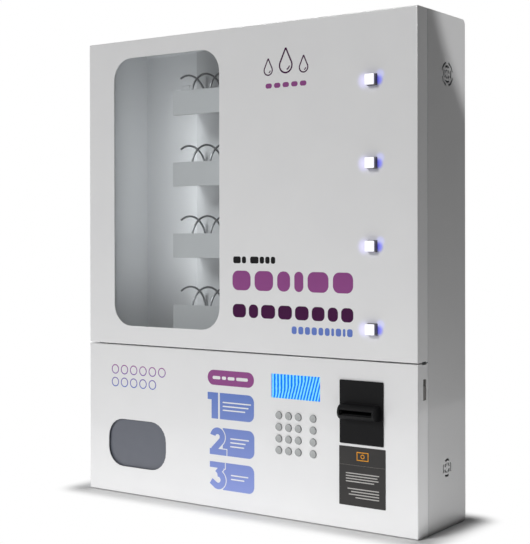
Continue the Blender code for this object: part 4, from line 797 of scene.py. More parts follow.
def build_sheet_fixings():
    """Tray rivets, the retainer's screws, the plates over the keyholes, and the cable hole's grommet."""
    rivets = bmesh.new()
    for top in TRAY_TOPS:
        for across in TRAY_RIVETS_X:
            for depth, along in ((TRAY_BACK_FRONT, OUTWARD), (RACK_BACK, -OUTWARD)):
                place = (across, depth, top - TRAY_RIVETS_DROP)
                fixing(rivets, place, along, 0.0024, 0, RIVET_HEAD_SHARES)
    finished("tray_rivets", rivets, PLATED_STEEL, "cabinet")

    screws = bmesh.new()
    left, right = RETAINER_SIDES
    bottom, top = RETAINER_ENDS
    sides = [
        (across, bottom + (top - bottom) * share)
        for across in RETAINER_SIDES
        for share in (0.14, 0.38, 0.62, 0.86)
    ]
    ends = [(left + (right - left) * share, height) for height in RETAINER_ENDS for share in (0.25, 0.75)]
    for across, height in sides + ends:
        fixing(screws, (across, RETAINER_BACK, height), -OUTWARD, 0.0030)
    finished("retainer_screws", screws, PLATED_STEEL, "upper_door")

    covers = bmesh.new()
    for across in (LEFT + KEYHOLE_MARGINS[0], RIGHT - KEYHOLE_MARGINS[0]):
        for height in (KEYHOLE_MARGINS[1], HEIGHT - KEYHOLE_MARGINS[1]):
            low = (across - PLATE_HALF_WIDTH, PLATE_FACES[0], height - PLATE_BELOW)
            high = (across + PLATE_HALF_WIDTH, PLATE_FACES[1], height + PLATE_ABOVE)
            block(covers, low, high, 0.0005)
    finished("keyhole_covers", covers, INNER_COAT, "cabinet")

    grommet = bmesh.new()
    ring = [
        (0.0080, -0.0015), (0.0115, -0.0015), (0.0115, 0.0002), (0.0150, 0.0006), (0.0156, 0.0014),
        (0.0146, 0.0024), (0.0090, 0.0024), (0.0080, 0.0014), (0.0080, -0.0015),
    ]
    turned(grommet, ring, GROMMET_MIDDLE, OUTWARD, 40)
    finished("cable_grommet", grommet, RUBBER, "cabinet")


# Coils, hubs and motors

COIL_AXIS_Y = 0.0266
COIL_RADIUS = 0.0325
COIL_WIRE = 0.004
COIL_PITCH = 0.0424
COIL_START = -0.1998
COIL_START_ANGLE = math.radians(-40)
COIL_STEPS_PER_TURN = 30
# The wire's right end turns in to the hub's rim over TAIL_STEPS and ends inside it, by TAIL_SUNK
TAIL_STEPS = 6
TAIL_TURN = math.radians(24)
TAIL_RADIUS = 0.0223
TAIL_SUNK = 0.002
HUB_MIDDLE = 0.2262
HUB_RADIUS = 0.018
HUB_HALF = 0.005
# From the coil side to the motor side, as (radius, distance along the axis)
HUB_PROFILE = (
    (0, -HUB_HALF + 0.0012), (0.0026, -HUB_HALF + 0.0012), (0.0032, -HUB_HALF + 0.0002),
    (0.0062, -HUB_HALF + 0.0002), (0.0068, -HUB_HALF + 0.0034), (0.0140, -HUB_HALF + 0.0034),
    (0.0146, -HUB_HALF + 0.0004), (0.0150, -HUB_HALF), (0.0174, -HUB_HALF), (HUB_RADIUS, -HUB_HALF + 0.0006),
    (HUB_RADIUS, HUB_HALF - 0.0006), (0.0174, HUB_HALF), (0.0045, HUB_HALF), (0.0040, HUB_HALF + 0.0004),
    (0.0040, HUB_HALF + 0.0150), (0.0036, HUB_HALF + 0.0157), (0, HUB_HALF + 0.0157),
)
HUB_SPOKES = 6
HUB_RIB_DEPTH = 0.0028
MOTOR_SEAT = 0.2333
MOTOR_DEPTH = 0.040
MOTOR_SPLIT = 0.026
MOTOR_HALF_WIDTH = 0.026
MOTOR_HALF_HEIGHT = 0.024
MOTOR_SCREW_OFFSETS = (0.0205, 0.0185)


def coil_route(row_top):
    """The wire's centre line: an even helix that turns in to the hub's rim at its right end."""
    turns = (HUB_MIDDLE - COIL_START) / COIL_PITCH
    steps = round(turns * COIL_STEPS_PER_TURN)
    route = []
    for step in range(steps + 1):
        share = step / steps
        angle = COIL_START_ANGLE + 2 * math.pi * turns * share
        route.append((COIL_START + (HUB_MIDDLE - COIL_START) * share, COIL_RADIUS, angle))
    last = route[-1][2]
    for step in range(1, TAIL_STEPS + 1):
        share = step / TAIL_STEPS
        radius = COIL_RADIUS + (TAIL_RADIUS - COIL_RADIUS) * share
        route.append((HUB_MIDDLE, radius, last + TAIL_TURN * share))
    route.append((HUB_MIDDLE, HUB_RADIUS - TAIL_SUNK, last + TAIL_TURN))
    return [
        Vector((along, COIL_AXIS_Y + radius * math.sin(angle), row_top + radius * math.cos(angle)))
        for along, radius, angle in route
    ]


def build_coil(row, row_top):
    curve = bpy.data.curves.new(f"spring_{row}", "CURVE")
    curve.dimensions = "3D"
    curve.bevel_depth = COIL_WIRE / 2
    curve.bevel_resolution = 3
    curve.use_fill_caps = True
    route = coil_route(row_top)
    spline = curve.splines.new("POLY")
    spline.points.add(len(route) - 1)
    for point, place in zip(spline.points, route):
        point.co = (*place, 1)
    guide = bpy.data.objects.new(f"spring_{row}_guide", curve)
    bpy.context.scene.collection.objects.link(guide)
    wire = bpy.data.meshes.new_from_object(guide.evaluated_get(bpy.context.evaluated_depsgraph_get()))
    bpy.data.objects.remove(guide)
    shape = bmesh.new()
    shape.from_mesh(wire)
    bpy.data.meshes.remove(wire)
    eased(shape, edges_over(shape, math.radians(60)), 0.0006)
    finished(f"coil_spring_{row}", shape, SPRING_WIRE, f"coil_drive_{row}", (f"coil_{row}",))

    hub = bmesh.new()
    turned(hub, HUB_PROFILE, (HUB_MIDDLE, COIL_AXIS_Y, row_top), RIGHTWARD, 40)
    near = HUB_MIDDLE - HUB_HALF + 0.0012
    for spoke in range(HUB_SPOKES):
        rib = bmesh.new()
        block(rib, (near, -0.0007, 0.006), (near + HUB_RIB_DEPTH, 0.0007, 0.0148), 0.0003)
        turn = Matrix.Rotation(spoke * 2 * math.pi / HUB_SPOKES, 4, "X")
        bmesh.ops.transform(rib, matrix=Matrix.Translation((0, COIL_AXIS_Y, row_top)) @ turn, verts=rib.verts)
        join(hub, rib)
    finished(
        f"hub_moulding_{row}", hub, NATURAL_NYLON, f"coil_drive_{row}", (f"coil_hub_{row}",)
    )


def build_motor(row, row_top):
    """A gear motor: a two-part gearbox with screws, a steel can and its solder tags."""
    shape = bmesh.new()
    low = Vector((MOTOR_SEAT, COIL_AXIS_Y - MOTOR_HALF_WIDTH, row_top - MOTOR_HALF_HEIGHT))
    high = Vector((MOTOR_SEAT + MOTOR_DEPTH, COIL_AXIS_Y + MOTOR_HALF_WIDTH, row_top + MOTOR_HALF_HEIGHT))
    split = low.x + MOTOR_SPLIT
    block(shape, low, (split - 0.0003, high.y, high.z), 0.003, 3)
    block(
        shape, (split - 0.0006, low.y + 0.0006, low.z + 0.0006),
        (split + 0.0006, high.y - 0.0006, high.z - 0.0006),
    )
    block(shape, (split + 0.0003, low.y, low.z), high, 0.003, 3)
    for side in (-1, 1):
        for end in (-1, 1):
            screw_y, screw_z = MOTOR_SCREW_OFFSETS
            corner = (high.x, COIL_AXIS_Y + side * screw_y, row_top + end * screw_z)
            fixing(shape, corner, RIGHTWARD, 0.0027, 1)
    can = [
        (0.0119, -0.002), (0.0119, 0.0215), (0.0112, 0.0224), (0.0045, 0.0224), (0.0043, 0.0237), (0, 0.0237)
    ]
    turned(shape, can, (high.x, COIL_AXIS_Y, row_top), RIGHTWARD, 32, 1)
    for side in (-1, 1):
        across = COIL_AXIS_Y + side * 0.0072
        block(
            shape, (high.x + 0.0215, across - 0.0012, row_top - 0.0003),
            (high.x + 0.0238, across + 0.0012, row_top + 0.0003), 0, 2, 1,
        )
    finishes = (MOTOR_PLASTIC, PLATED_STEEL)
    finished(f"gear_motor_{row}", shape, finishes, "cabinet", (f"coil_motor_{row}",))


# Selection buttons, keys and display


def build_select_button(row, height):
    """A lit cap with softly rounded edges, on a flange behind the door."""
    shape = bmesh.new()
    middle = (SELECT_X, height)
    faces = (FRONT - SELECT_PROUD, SELECT_FLANGE_FACES[1])
    centred(shape, middle, (SELECT_HALF, SELECT_HALF), faces, SELECT_EDGE, 4)
    centred(shape, middle, (SELECT_FLANGE_HALF, SELECT_FLANGE_HALF), SELECT_FLANGE_FACES, 0.0004)
    body = f"select_button_{row}"
    finished(f"select_cap_{row}", shape, LIT_BUTTON, body, (body,))


KEY_COLUMNS = (0.0854, 0.1051, 0.1248, 0.1544)
KEY_ROWS = (0.1750, 0.1553, 0.1356, 0.1159)
KEY_BODIES = (
    ("key_1", "key_2", "key_3", "key_a"),
    ("key_4", "key_5", "key_6", "key_b"),
    ("key_7", "key_8", "key_9", "key_c"),
    ("key_star", "key_0", "key_hash", "key_d"),
)
KEY_PROFILE = (
    (0, 0.00350), (0.0036, 0.00358), (0.0051, 0.00372), (0.0057, 0.00380), (0.0060, 0.00376),
    (0.00618, 0.00358), (0.00625, 0.0033), (0.00625, -0.0003), (0.00765, -0.0003), (0.00765, -0.0015),
    (0, -0.0015),
)


def build_keys():
    """Sixteen round keys, each dished for a fingertip with a rounded rim, on its flange behind the door."""
    for height, bodies in zip(KEY_ROWS, KEY_BODIES):
        for across, body in zip(KEY_COLUMNS, bodies):
            shape = bmesh.new()
            turned(shape, KEY_PROFILE, (across, DOOR_INSIDE, height), OUTWARD, 32)
            finished(f"{body}_cap", shape, NICKEL_KEY, body, (body,))


def build_display():
    """The display's lit window stands flush in the door, and its frame and board are behind."""
    softened("display_panel", "display_window", DISPLAY_LIT, 0.0003)


# Bill acceptor, notice plate, flap and latch

BILL_X = 0.2478
STACKER_HALF = 0.0345
STACKER_FACES = (-0.0284, 0.0056)
STACKER_RIB = 0.0012
STACKER_RIB_HEIGHTS = [0.152 + rib * 0.0135 for rib in range(7)]


def build_bill_acceptor():
    """The mouth on the door, and behind it the validator's head with its stacker, ribbed and screwed."""
    softened("bill_bezel", "bill_mouth", BLACK_ABS, 0.0005, 3)
    softened("bill_validator", "bill_housing", MOTOR_PLASTIC, 0.0006)
    trim = bmesh.new()
    stacker_left, stacker_right = BILL_X - STACKER_HALF, BILL_X + STACKER_HALF
    stacker_front, stacker_back = STACKER_FACES
    sides = ((stacker_left - STACKER_RIB, stacker_left), (stacker_right, stacker_right + STACKER_RIB))
    for height in STACKER_RIB_HEIGHTS:
        for outer, inner in sides:
            block(
                trim, (outer - 0.0002, stacker_front + 0.004, height - 0.001),
                (inner + 0.0002, stacker_back - 0.004, height + 0.001), 0.0004,
            )
    lid_faces = (stacker_back - 0.0004, stacker_back + 0.0016)
    centred(trim, (BILL_X, 0.190), (0.024, 0.040), lid_faces, 0.0008)
    catch_faces = (stacker_back + 0.0012, stacker_back + 0.0034)
    centred(trim, (BILL_X, 0.160), (0.012, 0.004), catch_faces, 0.0008, 2, 1)
    for across in (BILL_X - 0.030, BILL_X + 0.030):
        for height in (0.1475, 0.2400):
            fixing(trim, (across, stacker_back, height), -OUTWARD, 0.0024, 2)
    head_side = BILL_X - 0.0330
    block(trim, (head_side - 0.0010, -0.0700, 0.1920), (head_side + 0.0004, -0.0320, 0.1945), 0.0003, 2, 1)
    block(trim, (head_side - 0.0030, -0.0640, 0.1640), (head_side + 0.0004, -0.0460, 0.1720), 0.0006, 2, 3)
    for depth in (-0.0740, -0.0360):
        for height in (0.1630, 0.2400):
            fixing(trim, (head_side, depth, height), -RIGHTWARD, 0.0022, 2)
    finishes = (MOTOR_PLASTIC, SLOT_BLACK, PLATED_STEEL, WHITE_CONNECTOR)
    finished("bill_housing_trim", trim, finishes, "lower_door")


NOTICE_PROUD = 0.0005
SIGN_PROUD = 0.00062
NOTICE_RULE_ENDS = (0.2078, 0.2900)
NOTICE_RULE_PITCH = 0.0020
# The banknote sign's frame, by its lower left and upper right corners and the width of its line
SIGN_CORNERS = ((0.2385, 0.1145), (0.2605, 0.1285))
SIGN_LINE = 0.0013
# The two groups of grey bars: their ends along X, the first one's height, and the drop from one to the next
NOTICE_BARS = (
    (((0.2180, 0.2803), (0.2180, 0.2770), (0.2180, 0.2790), (0.2180, 0.2710)), 0.0922, 0.0044),
    (((0.2212, 0.2802), (0.2280, 0.2802), (0.2236, 0.2802), (0.2362, 0.2802)), 0.0672, 0.0046),
)


def build_notice_plate():
    """A dark plate under the bill acceptor, with a dotted rule, a banknote sign and rows of grey bars."""
    shape = bmesh.new()
    printed(shape, (0.2052, 0.0403), (0.2920, 0.1364), 0.0012, 0, NOTICE_PROUD)
    dot = NOTICE_RULE_ENDS[0]
    while dot < NOTICE_RULE_ENDS[1]:
        printed(shape, (dot, 0.1060), (dot + 0.0009, 0.1066), 0.0002, 1, SIGN_PROUD)
        dot += NOTICE_RULE_PITCH
    (left, bottom), (right, top) = SIGN_CORNERS
    low_line, high_line = bottom + SIGN_LINE, top - SIGN_LINE
    for low, high in (
        ((left, bottom), (right, low_line)), ((left, high_line), (right, top)),
        ((left, low_line), (left + SIGN_LINE, high_line)),
        ((right - SIGN_LINE, low_line), (right, high_line)),
    ):
        printed(shape, low, high, 0, 2, SIGN_PROUD)
    printed_ring(shape, (0.2495, 0.1215), 0.0036, 0.0024, 2, SIGN_PROUD)
    for bars, top, drop in NOTICE_BARS:
        for row, (left, right) in enumerate(bars):
            height = top - row * drop
            printed(shape, (left, height), (right, height + 0.0016), 0.0006, 3, SIGN_PROUD)
    inks = (
        NOTICE_VINYL, screen_ink("warm_grey_ink", "#8f8a84"), screen_ink("amber_ink", "#e39a28"),
        screen_ink("pale_grey_ink", "#b9b7b4"),
    )
    finished("notice_plate", shape, inks, "lower_door")


def build_flap_and_latch():
    softened("pickup_flap", "flap_plate", SMOKED_FLAP, 0.0003)
    softened("latch_slide", "latch_bolt", LATCH_ABS, 0.0004)


# Boards and supply


# The finishes of a fitted board, in the order of its faces' material numbers
BOARD_FINISHES = (
    BOARD_GREEN, SLOT_BLACK, PLATED_STEEL, WHITE_CONNECTOR, RELAY_BLUE, CAPACITOR_SLEEVE,
)
GREEN, BLACK, METAL, WHITE, BLUE, SLEEVE = range(6)
POST_RADIUS = 0.003


def board_blank(edges, faces, inset, head, head_side, post=0.0):
    """A bare board, with a screw in each corner on one side and a six-sided post on the other.

    edges is its left, right, bottom and top, faces its front and back, and head_side is -1 for the front.
    """
    left, right, bottom, top = edges
    front, back = faces
    head_face, post_face = (back, front) if head_side > 0 else (front, back)
    shape = bmesh.new()
    block(shape, (left, front, bottom), (right, back, top), 0.0003, 1, GREEN)
    for across in (left + inset, right - inset):
        for height in (bottom + inset, top - inset):
            fixing(shape, (across, head_face, height), (0, head_side, 0), head, METAL)
            if post:
                outline = [(0, 0), (POST_RADIUS, 0), (POST_RADIUS, post), (0, post)]
                turned(shape, outline, (across, post_face, height), (0, -head_side, 0), 6, METAL)
    return shape


def chip(shape, across, height, face, side, size, legs):
    """Adds a chip with two rows of legs. It stands on a board's face at Y = face, towards side (-1 or 1)."""
    wide, tall = size[0] / 2, size[1] / 2
    centred(shape, (across, height), (wide, tall), (face, face + side * 0.0021), 0.0003, 1, BLACK)
    leg_faces = (face - side * 0.0001, face + side * 0.0009)
    for leg in range(legs):
        middle = across - wide + size[0] * (leg + 0.5) / legs
        for end in (-1, 1):
            place = (middle, height + end * (tall + 0.0005))
            centred(shape, place, (0.00025, 0.0007), leg_faces, 0, 1, METAL)


def connector(shape, low, high, face, side, pins):
    """Adds a white pin header between two (X, Z) corners, with its row of pins."""
    near, far = sorted((face, face + side * 0.0062))
    block(shape, (low[0], near, low[1]), (high[0], far, high[1]), 0.0004, 1, WHITE)
    middle = (low[1] + high[1]) / 2
    for pin in range(pins):
        across = low[0] + (high[0] - low[0]) * (pin + 0.5) / pins
        tip = (face + side * 0.0055, face + side * 0.0082)
        centred(shape, (across, middle), (0.0003, 0.0003), tip, 0, 1, METAL)


def capacitor(shape, across, height, face, side, radius, tall):
    """Adds an upright electrolytic capacitor: its sleeve, crimped low down, and the bare top of its can."""
    sleeve = [
        (radius * 0.9, 0), (radius, 0.0008), (radius, 0.0016), (radius * 0.94, 0.0022), (radius, 0.0028)
    ]
    sleeve += [(radius, tall - 0.0006), (radius * 0.93, tall)]
    along = (0, side, 0)
    turned(shape, sleeve, (across, face, height), along, 24, SLEEVE)
    turned(
        shape, [(radius * 0.93, tall), (radius * 0.9, tall - 0.0003), (0, tall - 0.0003)],
        (across, face, height), along, 24, METAL,
    )


def build_control_board():
    """The machine's controller on the back wall: relays, terminals, processor and supply capacitors."""
    left, right, bottom, top, front, back = -0.115, 0.045, 0.100, 0.210, 0.0726, 0.0742
    shape = board_blank((left, right, bottom, top), (front, back), 0.008, 0.0029, -1, 0.0080)
    for relay in range(4):
        across = left + 0.032 * (relay + 1)
        centred(shape, (across, 0.126), (0.008, 0.010), (front - 0.015, front + 0.0004), 0.0008, 2, BLUE)
        capacitor(shape, across + 0.0115, 0.126, front, -1, 0.0018, 0.004)
    for pole in range(16):
        across = left + 0.0185 + pole * 0.0078
        block(
            shape, (across, front - 0.0095, 0.1015), (across + 0.0074, front + 0.0004, 0.1105), 0.0005, 1,
            BLACK,
        )
        fixing(shape, (across + 0.0037, front - 0.0095, 0.1065), OUTWARD, 0.0020, METAL)
    chip(shape, -0.040, 0.168, front, -1, (0.026, 0.0075), 14)
    chip(shape, -0.078, 0.160, front, -1, (0.0115, 0.0052), 8)
    chip(shape, 0.006, 0.152, front, -1, (0.0115, 0.0052), 8)
    for across, height, radius, tall in (
        (0.016, 0.186, 0.005, 0.013), (0.029, 0.186, 0.005, 0.013), (0.030, 0.170, 0.004, 0.009)
    ):
        capacitor(shape, across, height, front, -1, radius, tall)
    for place, pins in enumerate((4, 6, 8, 4, 5)):
        low = -0.102 + place * 0.0215
        connector(shape, (low, 0.1985), (low + 0.0022 * pins, 0.2045), front, -1, pins)
    for part in range(18):
        across = -0.100 + part * 0.0072
        rise = 0.1425 + 0.004 * (part % 3)
        block(
            shape, (across, front - 0.0009, rise), (across + 0.0026, front + 0.0002, rise + 0.0013), 0.0002,
            1, (BLACK, METAL)[part % 2],
        )
    finished("control_circuit", shape, BOARD_FINISHES, "cabinet", ("control_board",))


def build_display_board():
    back = -0.0753
    shape = board_blank((0.0642, 0.1738, 0.1983, 0.2507), (-0.0769, back), 0.0045, 0.0024, 1)
    for place in (0.088, 0.112, 0.136):
        dome = [(0.0075, 0), (0.0072, 0.0008), (0.0045, 0.0017), (0, 0.0019)]
        turned(shape, dome, (place, back, 0.222), (0, 1, 0), 28, BLACK)
    connector(shape, (0.076, 0.2415), (0.112, 0.2465), back, 1, 16)
    chip(shape, 0.158, 0.222, back, 1, (0.010, 0.005), 6)
    finished("display_circuit", shape, BOARD_FINISHES, "lower_door", ("display_board",))


def build_keypad_board():
    back = -0.0774
    shape = board_blank((0.06715, 0.17265, 0.09765, 0.19325), (-0.0790, back), 0.006, 0.0027, 1, 0.0032)
    connector(shape, (0.100, 0.1010), (0.124, 0.1065), back, 1, 8)
    chip(shape, 0.120, 0.145, back, 1, (0.0125, 0.0052), 9)
    for height in KEY_ROWS:
        for across in KEY_COLUMNS:
            pad_faces = (back - 0.0002, back + 0.0006)
            centred(shape, (across, height), (0.003, 0.0006), pad_faces, 0.0002, 1, METAL)
    finished("keypad_circuit", shape, BOARD_FINISHES, "lower_door", ("keypad_board",))


def build_switch_strip():
    left, right, bottom, top, front, back = 0.2528, 0.2828, 0.3024, 0.7552, -0.0645, -0.0629
    switch_front = -0.0742
    shape = bmesh.new()
    block(shape, (left, front, bottom), (right, back, top), 0.0003, 1, GREEN)
    for height in SELECT_HEIGHTS:
        switch_faces = (switch_front, front + 0.0004)
        centred(shape, (SELECT_X, height), (0.007, 0.007), switch_faces, 0.0008, 2, BLACK)
        stem = [(0.0044, -0.002), (0.0044, 0.0024), (0.0038, 0.0030), (0, 0.0030)]
        turned(shape, stem, (SELECT_X, switch_front, height), OUTWARD, 20, WHITE)
        chip(shape, SELECT_X, height, back, 1, (0.006, 0.004), 4)
    for above, below in zip(SELECT_HEIGHTS, SELECT_HEIGHTS[1:]):
        middle = (above + below) / 2
        turned(
            shape, [(0, 0), (POST_RADIUS, 0), (POST_RADIUS, 0.0177), (0, 0.0177)], (SELECT_X, front, middle),
            OUTWARD, 6, METAL,
        )
        fixing(shape, (SELECT_X, back, middle), -OUTWARD, 0.0027, METAL)
    connector(shape, (0.2590, 0.3060), (0.2766, 0.3120), back, 1, 8)
    finished("switch_circuit", shape, BOARD_FINISHES, "upper_door", ("select_switch_strip",))


def build_power_supply():
    """A caged supply: a louvred steel cover over its tray, and a strip of screw terminals on its left end."""
    low, high = Vector((0.041, -0.0195, 0.0018)), Vector((0.200, 0.0705, 0.0438))
    step_x, step_z = 0.051, 0.0198
    shape = bmesh.new()
    block(shape, (step_x, low.y, low.z + 0.0016), high, 0.0012, 2, 0)
    block(shape, low, (high.x, high.y, low.z + 0.0022), 0.0005, 1, 0)
    block(
        shape, (low.x + 0.0008, low.y + 0.004, low.z + 0.002),
        (step_x + 0.0005, high.y - 0.004, step_z - 0.003), 0.0005, 1, 1,
    )
    for fin in range(8):
        depth = low.y + 0.0045 + fin * 0.0113
        block(shape, (low.x + 0.0008, depth, low.z + 0.002), (step_x, depth + 0.0014, step_z), 0.0003, 1, 1)
        if fin < 7:
            fixing(shape, (low.x + 0.0055, depth + 0.0064, step_z - 0.003), UPWARD, 0.0028, 0)
    for row in range(3):
        for slot in range(12):
            across = step_x + 0.014 + slot * 0.0108
            depth = low.y + 0.012 + row * 0.0235
            block(
                shape, (across, depth, high.z - 0.0010), (across + 0.0030, depth + 0.0190, high.z + 0.00005),
                0.0001, 1, 1,
            )
    for slot in range(12):
        across = step_x + 0.014 + slot * 0.0108
        block(
            shape, (across, low.y - 0.00005, low.z + 0.010),
            (across + 0.0030, low.y + 0.0010, high.z - 0.008), 0.0001, 1, 1,
        )
    for across in (step_x + 0.005, high.x - 0.005):
        for depth in (low.y + 0.005, high.y - 0.005):
            fixing(shape, (across, depth, high.z), UPWARD, 0.0024, 0)
    finished("supply_cage", shape, (PLATED_STEEL, SLOT_BLACK), "cabinet", ("power_supply",))


def build_window_pane():
    frame["nodes"]["window_pane"].data.materials[0] = ACRYLIC


# Printed marks


def bar(first, second, width):
    """A flat bar between two (X, Z) points, square at both ends."""
    along = (second[0] - first[0], second[1] - first[1])
    middle = ((first[0] + second[0]) / 2, 0, (first[1] + second[1]) / 2)
    part = bmesh.new()
    upright = Matrix.Rotation(math.radians(90), 4, "X") @ Matrix.Rotation(
        math.atan2(along[1], along[0]), 4, "Z"
    )
    matrix = Matrix.Translation(middle) @ upright @ Matrix.Diagonal((math.hypot(*along), width, 1, 1))
    bmesh.ops.create_grid(part, x_segments=1, y_segments=1, size=0.5, matrix=matrix)
    return part


def sweep(middle, outer, inner, start, end):
    """A flat stretch of a ring about an (X, Z) point, between two angles in degrees from the right."""
    part = bmesh.new()
    centre = Vector((middle[0], 0, middle[1]))
    ray = Vector((math.cos(math.radians(start)), 0, math.sin(math.radians(start))))
    ends = [part.verts.new(centre + ray * radius) for radius in (max(inner, 0.0002), outer)]
    edge = part.edges.new(ends)
    bmesh.ops.spin(
        part, geom=[*ends, edge], cent=centre, axis=OUTWARD, dvec=(0, 0, 0), angle=math.radians(end - start),
        steps=max(6, round((end - start) / 9)), use_merge=False, use_duplicate=False,
    )
    return part


def stroked(shape, strokes, proud, finish):
    """Adds flat strokes to the front of a door, each a hair further out than the one before it."""
    for place, part in enumerate(strokes):
        thicken(part, FRONT - proud - place * 0.00001, FRONT + PRINT_SUNK)
        join(shape, part, finish)


NUMERAL_STROKE = 0.0116


def numeral_strokes(number, left, bottom, width, height, grow):
    """The heavy strokes of a plain 1, 2 or 3, each side moved out by grow."""
    stroke = NUMERAL_STROKE + 2 * grow
    right, top = left + width, bottom + height
    half = NUMERAL_STROKE / 2
    if number == 1:
        stem = right - half * 1.25
        flag = top - half * 1.1
        return [
            bar((stem, bottom - grow), (stem, top + grow), stroke * 1.25),
            bar((left - grow, flag), (stem, flag), stroke * 1.1),
        ]
    if number == 2:
        outer = width * 0.44
        middle = (left + width * 0.47, top - outer)
        reach = outer - half
        turn = (
            middle[0] + reach * math.cos(math.radians(-40)), middle[1] + reach * math.sin(math.radians(-40))
        )
        return [
            sweep(middle, outer + grow, outer - NUMERAL_STROKE - grow, -42, 168),
            bar(turn, (left + half * 1.3, bottom + half * 1.3), stroke),
            bar((left - grow, bottom + half * 0.92), (right + grow, bottom + half * 0.92), stroke * 0.92),
        ]
    outer = width * 0.455
    middle = (right - outer, bottom + outer)
    reach = outer - half
    tail = (
        middle[0] + reach * math.cos(math.radians(-122)), middle[1] + reach * math.sin(math.radians(-122))
    )
    return [
        bar(
            (left + width * 0.05 - grow, top - half * 0.9), (right - width * 0.05 + grow, top - half * 0.9),
            stroke * 0.9,
        ),
        bar(
            (right - width * 0.22, top - half * 1.4), (middle[0] - width * 0.06, middle[1] + reach),
            stroke * 0.95,
        ),
        sweep(middle, outer + grow, outer - NUMERAL_STROKE - grow, -124, 100),
        bar(tail, (left + width * 0.13 - grow * 0.8, tail[1] + width * 0.17 + grow * 0.6), stroke * 0.96),
    ]


def droplet_strokes(middle, radius, stroke):
    """An open droplet: most of a ring, with two bars that meet in its tip."""
    reach = radius * 2.1
    side = math.degrees(math.asin(1 / 2.1))
    line = radius - stroke / 2
    tip = (middle[0], middle[1] + reach)
    sides = [
        (
            middle[0] + way * line * math.cos(math.radians(side)),
            middle[1] + line * math.sin(math.radians(side)),
        )
        for way in (-1, 1)
    ]
    return [
        sweep(middle, radius, radius - stroke, 180 - side, 360 + side),
        *[bar(start, tip, stroke) for start in sides],
        sweep(middle, radius - 1.9 * stroke, radius - 2.7 * stroke, 285, 350),
    ]


def word_blocks(shape, left, bottom, widths, height, gap, finish, corner):
    """A row of rounded blocks with the rhythm of type, and no letters."""
    for width in widths:
        printed(shape, (left, bottom), (left + width, bottom + height), corner, finish)
        left += width + gap
    return left - gap


def build_upper_print():
    """Rows of rounded blocks with the rhythm of type, and three droplets over a row of blocks."""
    shape = bmesh.new()
    word_blocks(shape, -0.0103, 0.4312, (0.0160, 0.0088), 0.0118, 0.0026, 0, 0.0034)
    word_blocks(shape, 0.0260, 0.4312, (0.0175, 0.0090, 0.0090, 0.0090), 0.0118, 0.0026, 0, 0.0034)
    word_blocks(
        shape, -0.0120, 0.3845, (0.0386, 0.0386, 0.0262, 0.0180, 0.0410, 0.0386), 0.0340, 0.0086, 1, 0.0120
    )
    purple = (0.0282, 0.0196, 0.0292, 0.0282, 0.0272, 0.0252, 0.0196, 0.0232)
    word_blocks(shape, -0.0115, 0.3375, purple, 0.0232, 0.0062, 2, 0.0084)
    blue = (0.0100, 0.0100, 0.0100, 0.0102, 0.0092, 0.0092, 0.0052, 0.0104, 0.0048, 0.0104)
    word_blocks(shape, 0.1118, 0.3138, blue, 0.0128, 0.0033, 3, 0.0038)
    stroked(shape, droplet_strokes((0.1005, 0.7660), 0.0140, 0.0028), PRINT_PROUD, 2)
    for across in (0.0645, 0.1365):
        stroked(shape, droplet_strokes((across, 0.7600), 0.0095, 0.0022), PRINT_PROUD, 2)
    word_blocks(shape, 0.0590, 0.7290, (0.0130, 0.0130, 0.0130, 0.0130, 0.0130), 0.0085, 0.0045, 1, 0.0040)
    inks = (
        screen_ink("black_ink", "#0c0b0d"),
        screen_ink("mauve_ink", "#8f4c87", "#8d4a85", 0.385, 0.42),
        screen_ink("deep_purple_ink", "#3f0c3c", "#3c0c39", 0.335, 0.36),
        screen_ink("sky_blue_ink", "#647cc4", "#6980c6", 0.31, 0.33),
    )
    finished("upper_door_print", shape, inks, "upper_door")


# Each step's panel as (left, right, bottom, top), and its number's left edge, width and height
STEP_PANELS = (
    (-0.0402, 0.0334, 0.1576, 0.2036), (-0.0340, 0.0341, 0.0943, 0.1424), (-0.0340, 0.0338, 0.0340, 0.0820)
)
STEP_NUMBERS = ((-0.0672, 0.0232, 0.0460), (-0.0627, 0.0370, 0.0481), (-0.0644, 0.0370, 0.0480))
STEP_LINES = (
    (-0.0341, (0.0612, 0.0560, 0.0490)), (-0.0175, (0.0402, 0.0330, 0.0300)), (-0.0162, (0.0373, 0.0290))
)
STEP_LINE_HALF = 0.0011
STEP_LINE_PITCH = 0.0068
# Each step's blue at the top of its panel and at the bottom
STEP_BLUES = (("#6a82c4", "#778bc9"), ("#788bc9", "#8091ce"), ("#8191cf", "#8b9ad6"))


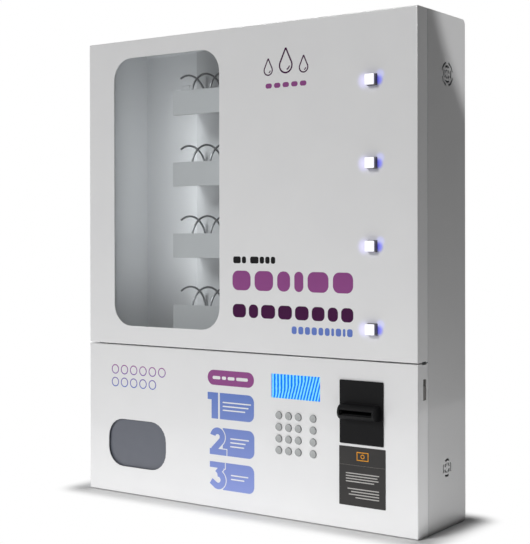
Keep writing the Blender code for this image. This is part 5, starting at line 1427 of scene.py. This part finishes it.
def build_lower_print():
    """A title bar, three numbered steps with a few plain bars each, and two rows of rings."""
    shape = bmesh.new()
    above = PRINT_PROUD + 0.00008
    highest = PRINT_PROUD + 0.00016
    printed(shape, (-0.0671, 0.2167), (0.0335, 0.2432), 0.0131, 0)
    left = -0.0560
    for width in (0.0170, 0.0090, 0.0150, 0.0250):
        printed(shape, (left, 0.2270), (left + width, 0.2326), 0.0024, 1, above)
        left += width + 0.0035
    inks = [screen_ink("plum_ink", "#904e88", "#925089", 0.216, 0.243), WHITE_INK]
    steps = zip(STEP_PANELS, STEP_NUMBERS, STEP_LINES, STEP_BLUES)
    for step, (panel, number, lines, (top_blue, bottom_blue)) in enumerate(steps, start=1):
        left, right, bottom, top = panel
        start, wide, tall = number
        text_left, widths = lines
        ink = len(inks)
        inks.append(screen_ink(f"step_{step}_blue_ink", bottom_blue, top_blue, bottom, top))
        printed(shape, (left, bottom), (right, top), 0.0120, ink, PRINT_PROUD, ((-1, -1), (-1, 1)))
        stroked(shape, numeral_strokes(step, start, bottom, wide, tall, 0.0017), above, 1)
        stroked(shape, numeral_strokes(step, start, bottom, wide, tall, 0), highest, ink)
        for row, width in enumerate(widths):
            height = (bottom + top) / 2 + ((len(widths) - 1) / 2 - row) * STEP_LINE_PITCH
            low, high = height - STEP_LINE_HALF, height + STEP_LINE_HALF
            printed(shape, (text_left, low), (text_left + width, high), 0.0010, 1, above)
    inks.append(screen_ink("purple_to_blue_ink", "#5468bb", "#9a4992", 0.199, 0.242))
    for row, height in enumerate((0.2302, 0.2065)):
        for place in range(6 - row):
            printed_ring(shape, (-0.2855 + place * 0.0226, height), 0.0089, 0.0071, len(inks) - 1)
    finished("lower_door_print", shape, inks, "lower_door")


build_camera()
build_lamps()
build_backdrop()
build_floor()
build_sheet_metal()
build_hinge()
build_sheet_fixings()
for row, (tray_top, select_height) in enumerate(zip(TRAY_TOPS, SELECT_HEIGHTS), start=1):
    build_coil(row, tray_top)
    build_motor(row, tray_top)
    build_select_button(row, select_height)
build_keys()
build_display()
build_bill_acceptor()
build_notice_plate()
build_flap_and_latch()
build_control_board()
build_display_board()
build_keypad_board()
build_switch_strip()
build_power_supply()
build_window_pane()
build_upper_print()
build_lower_print()

bpy.context.scene.view_settings.view_transform = "Standard"
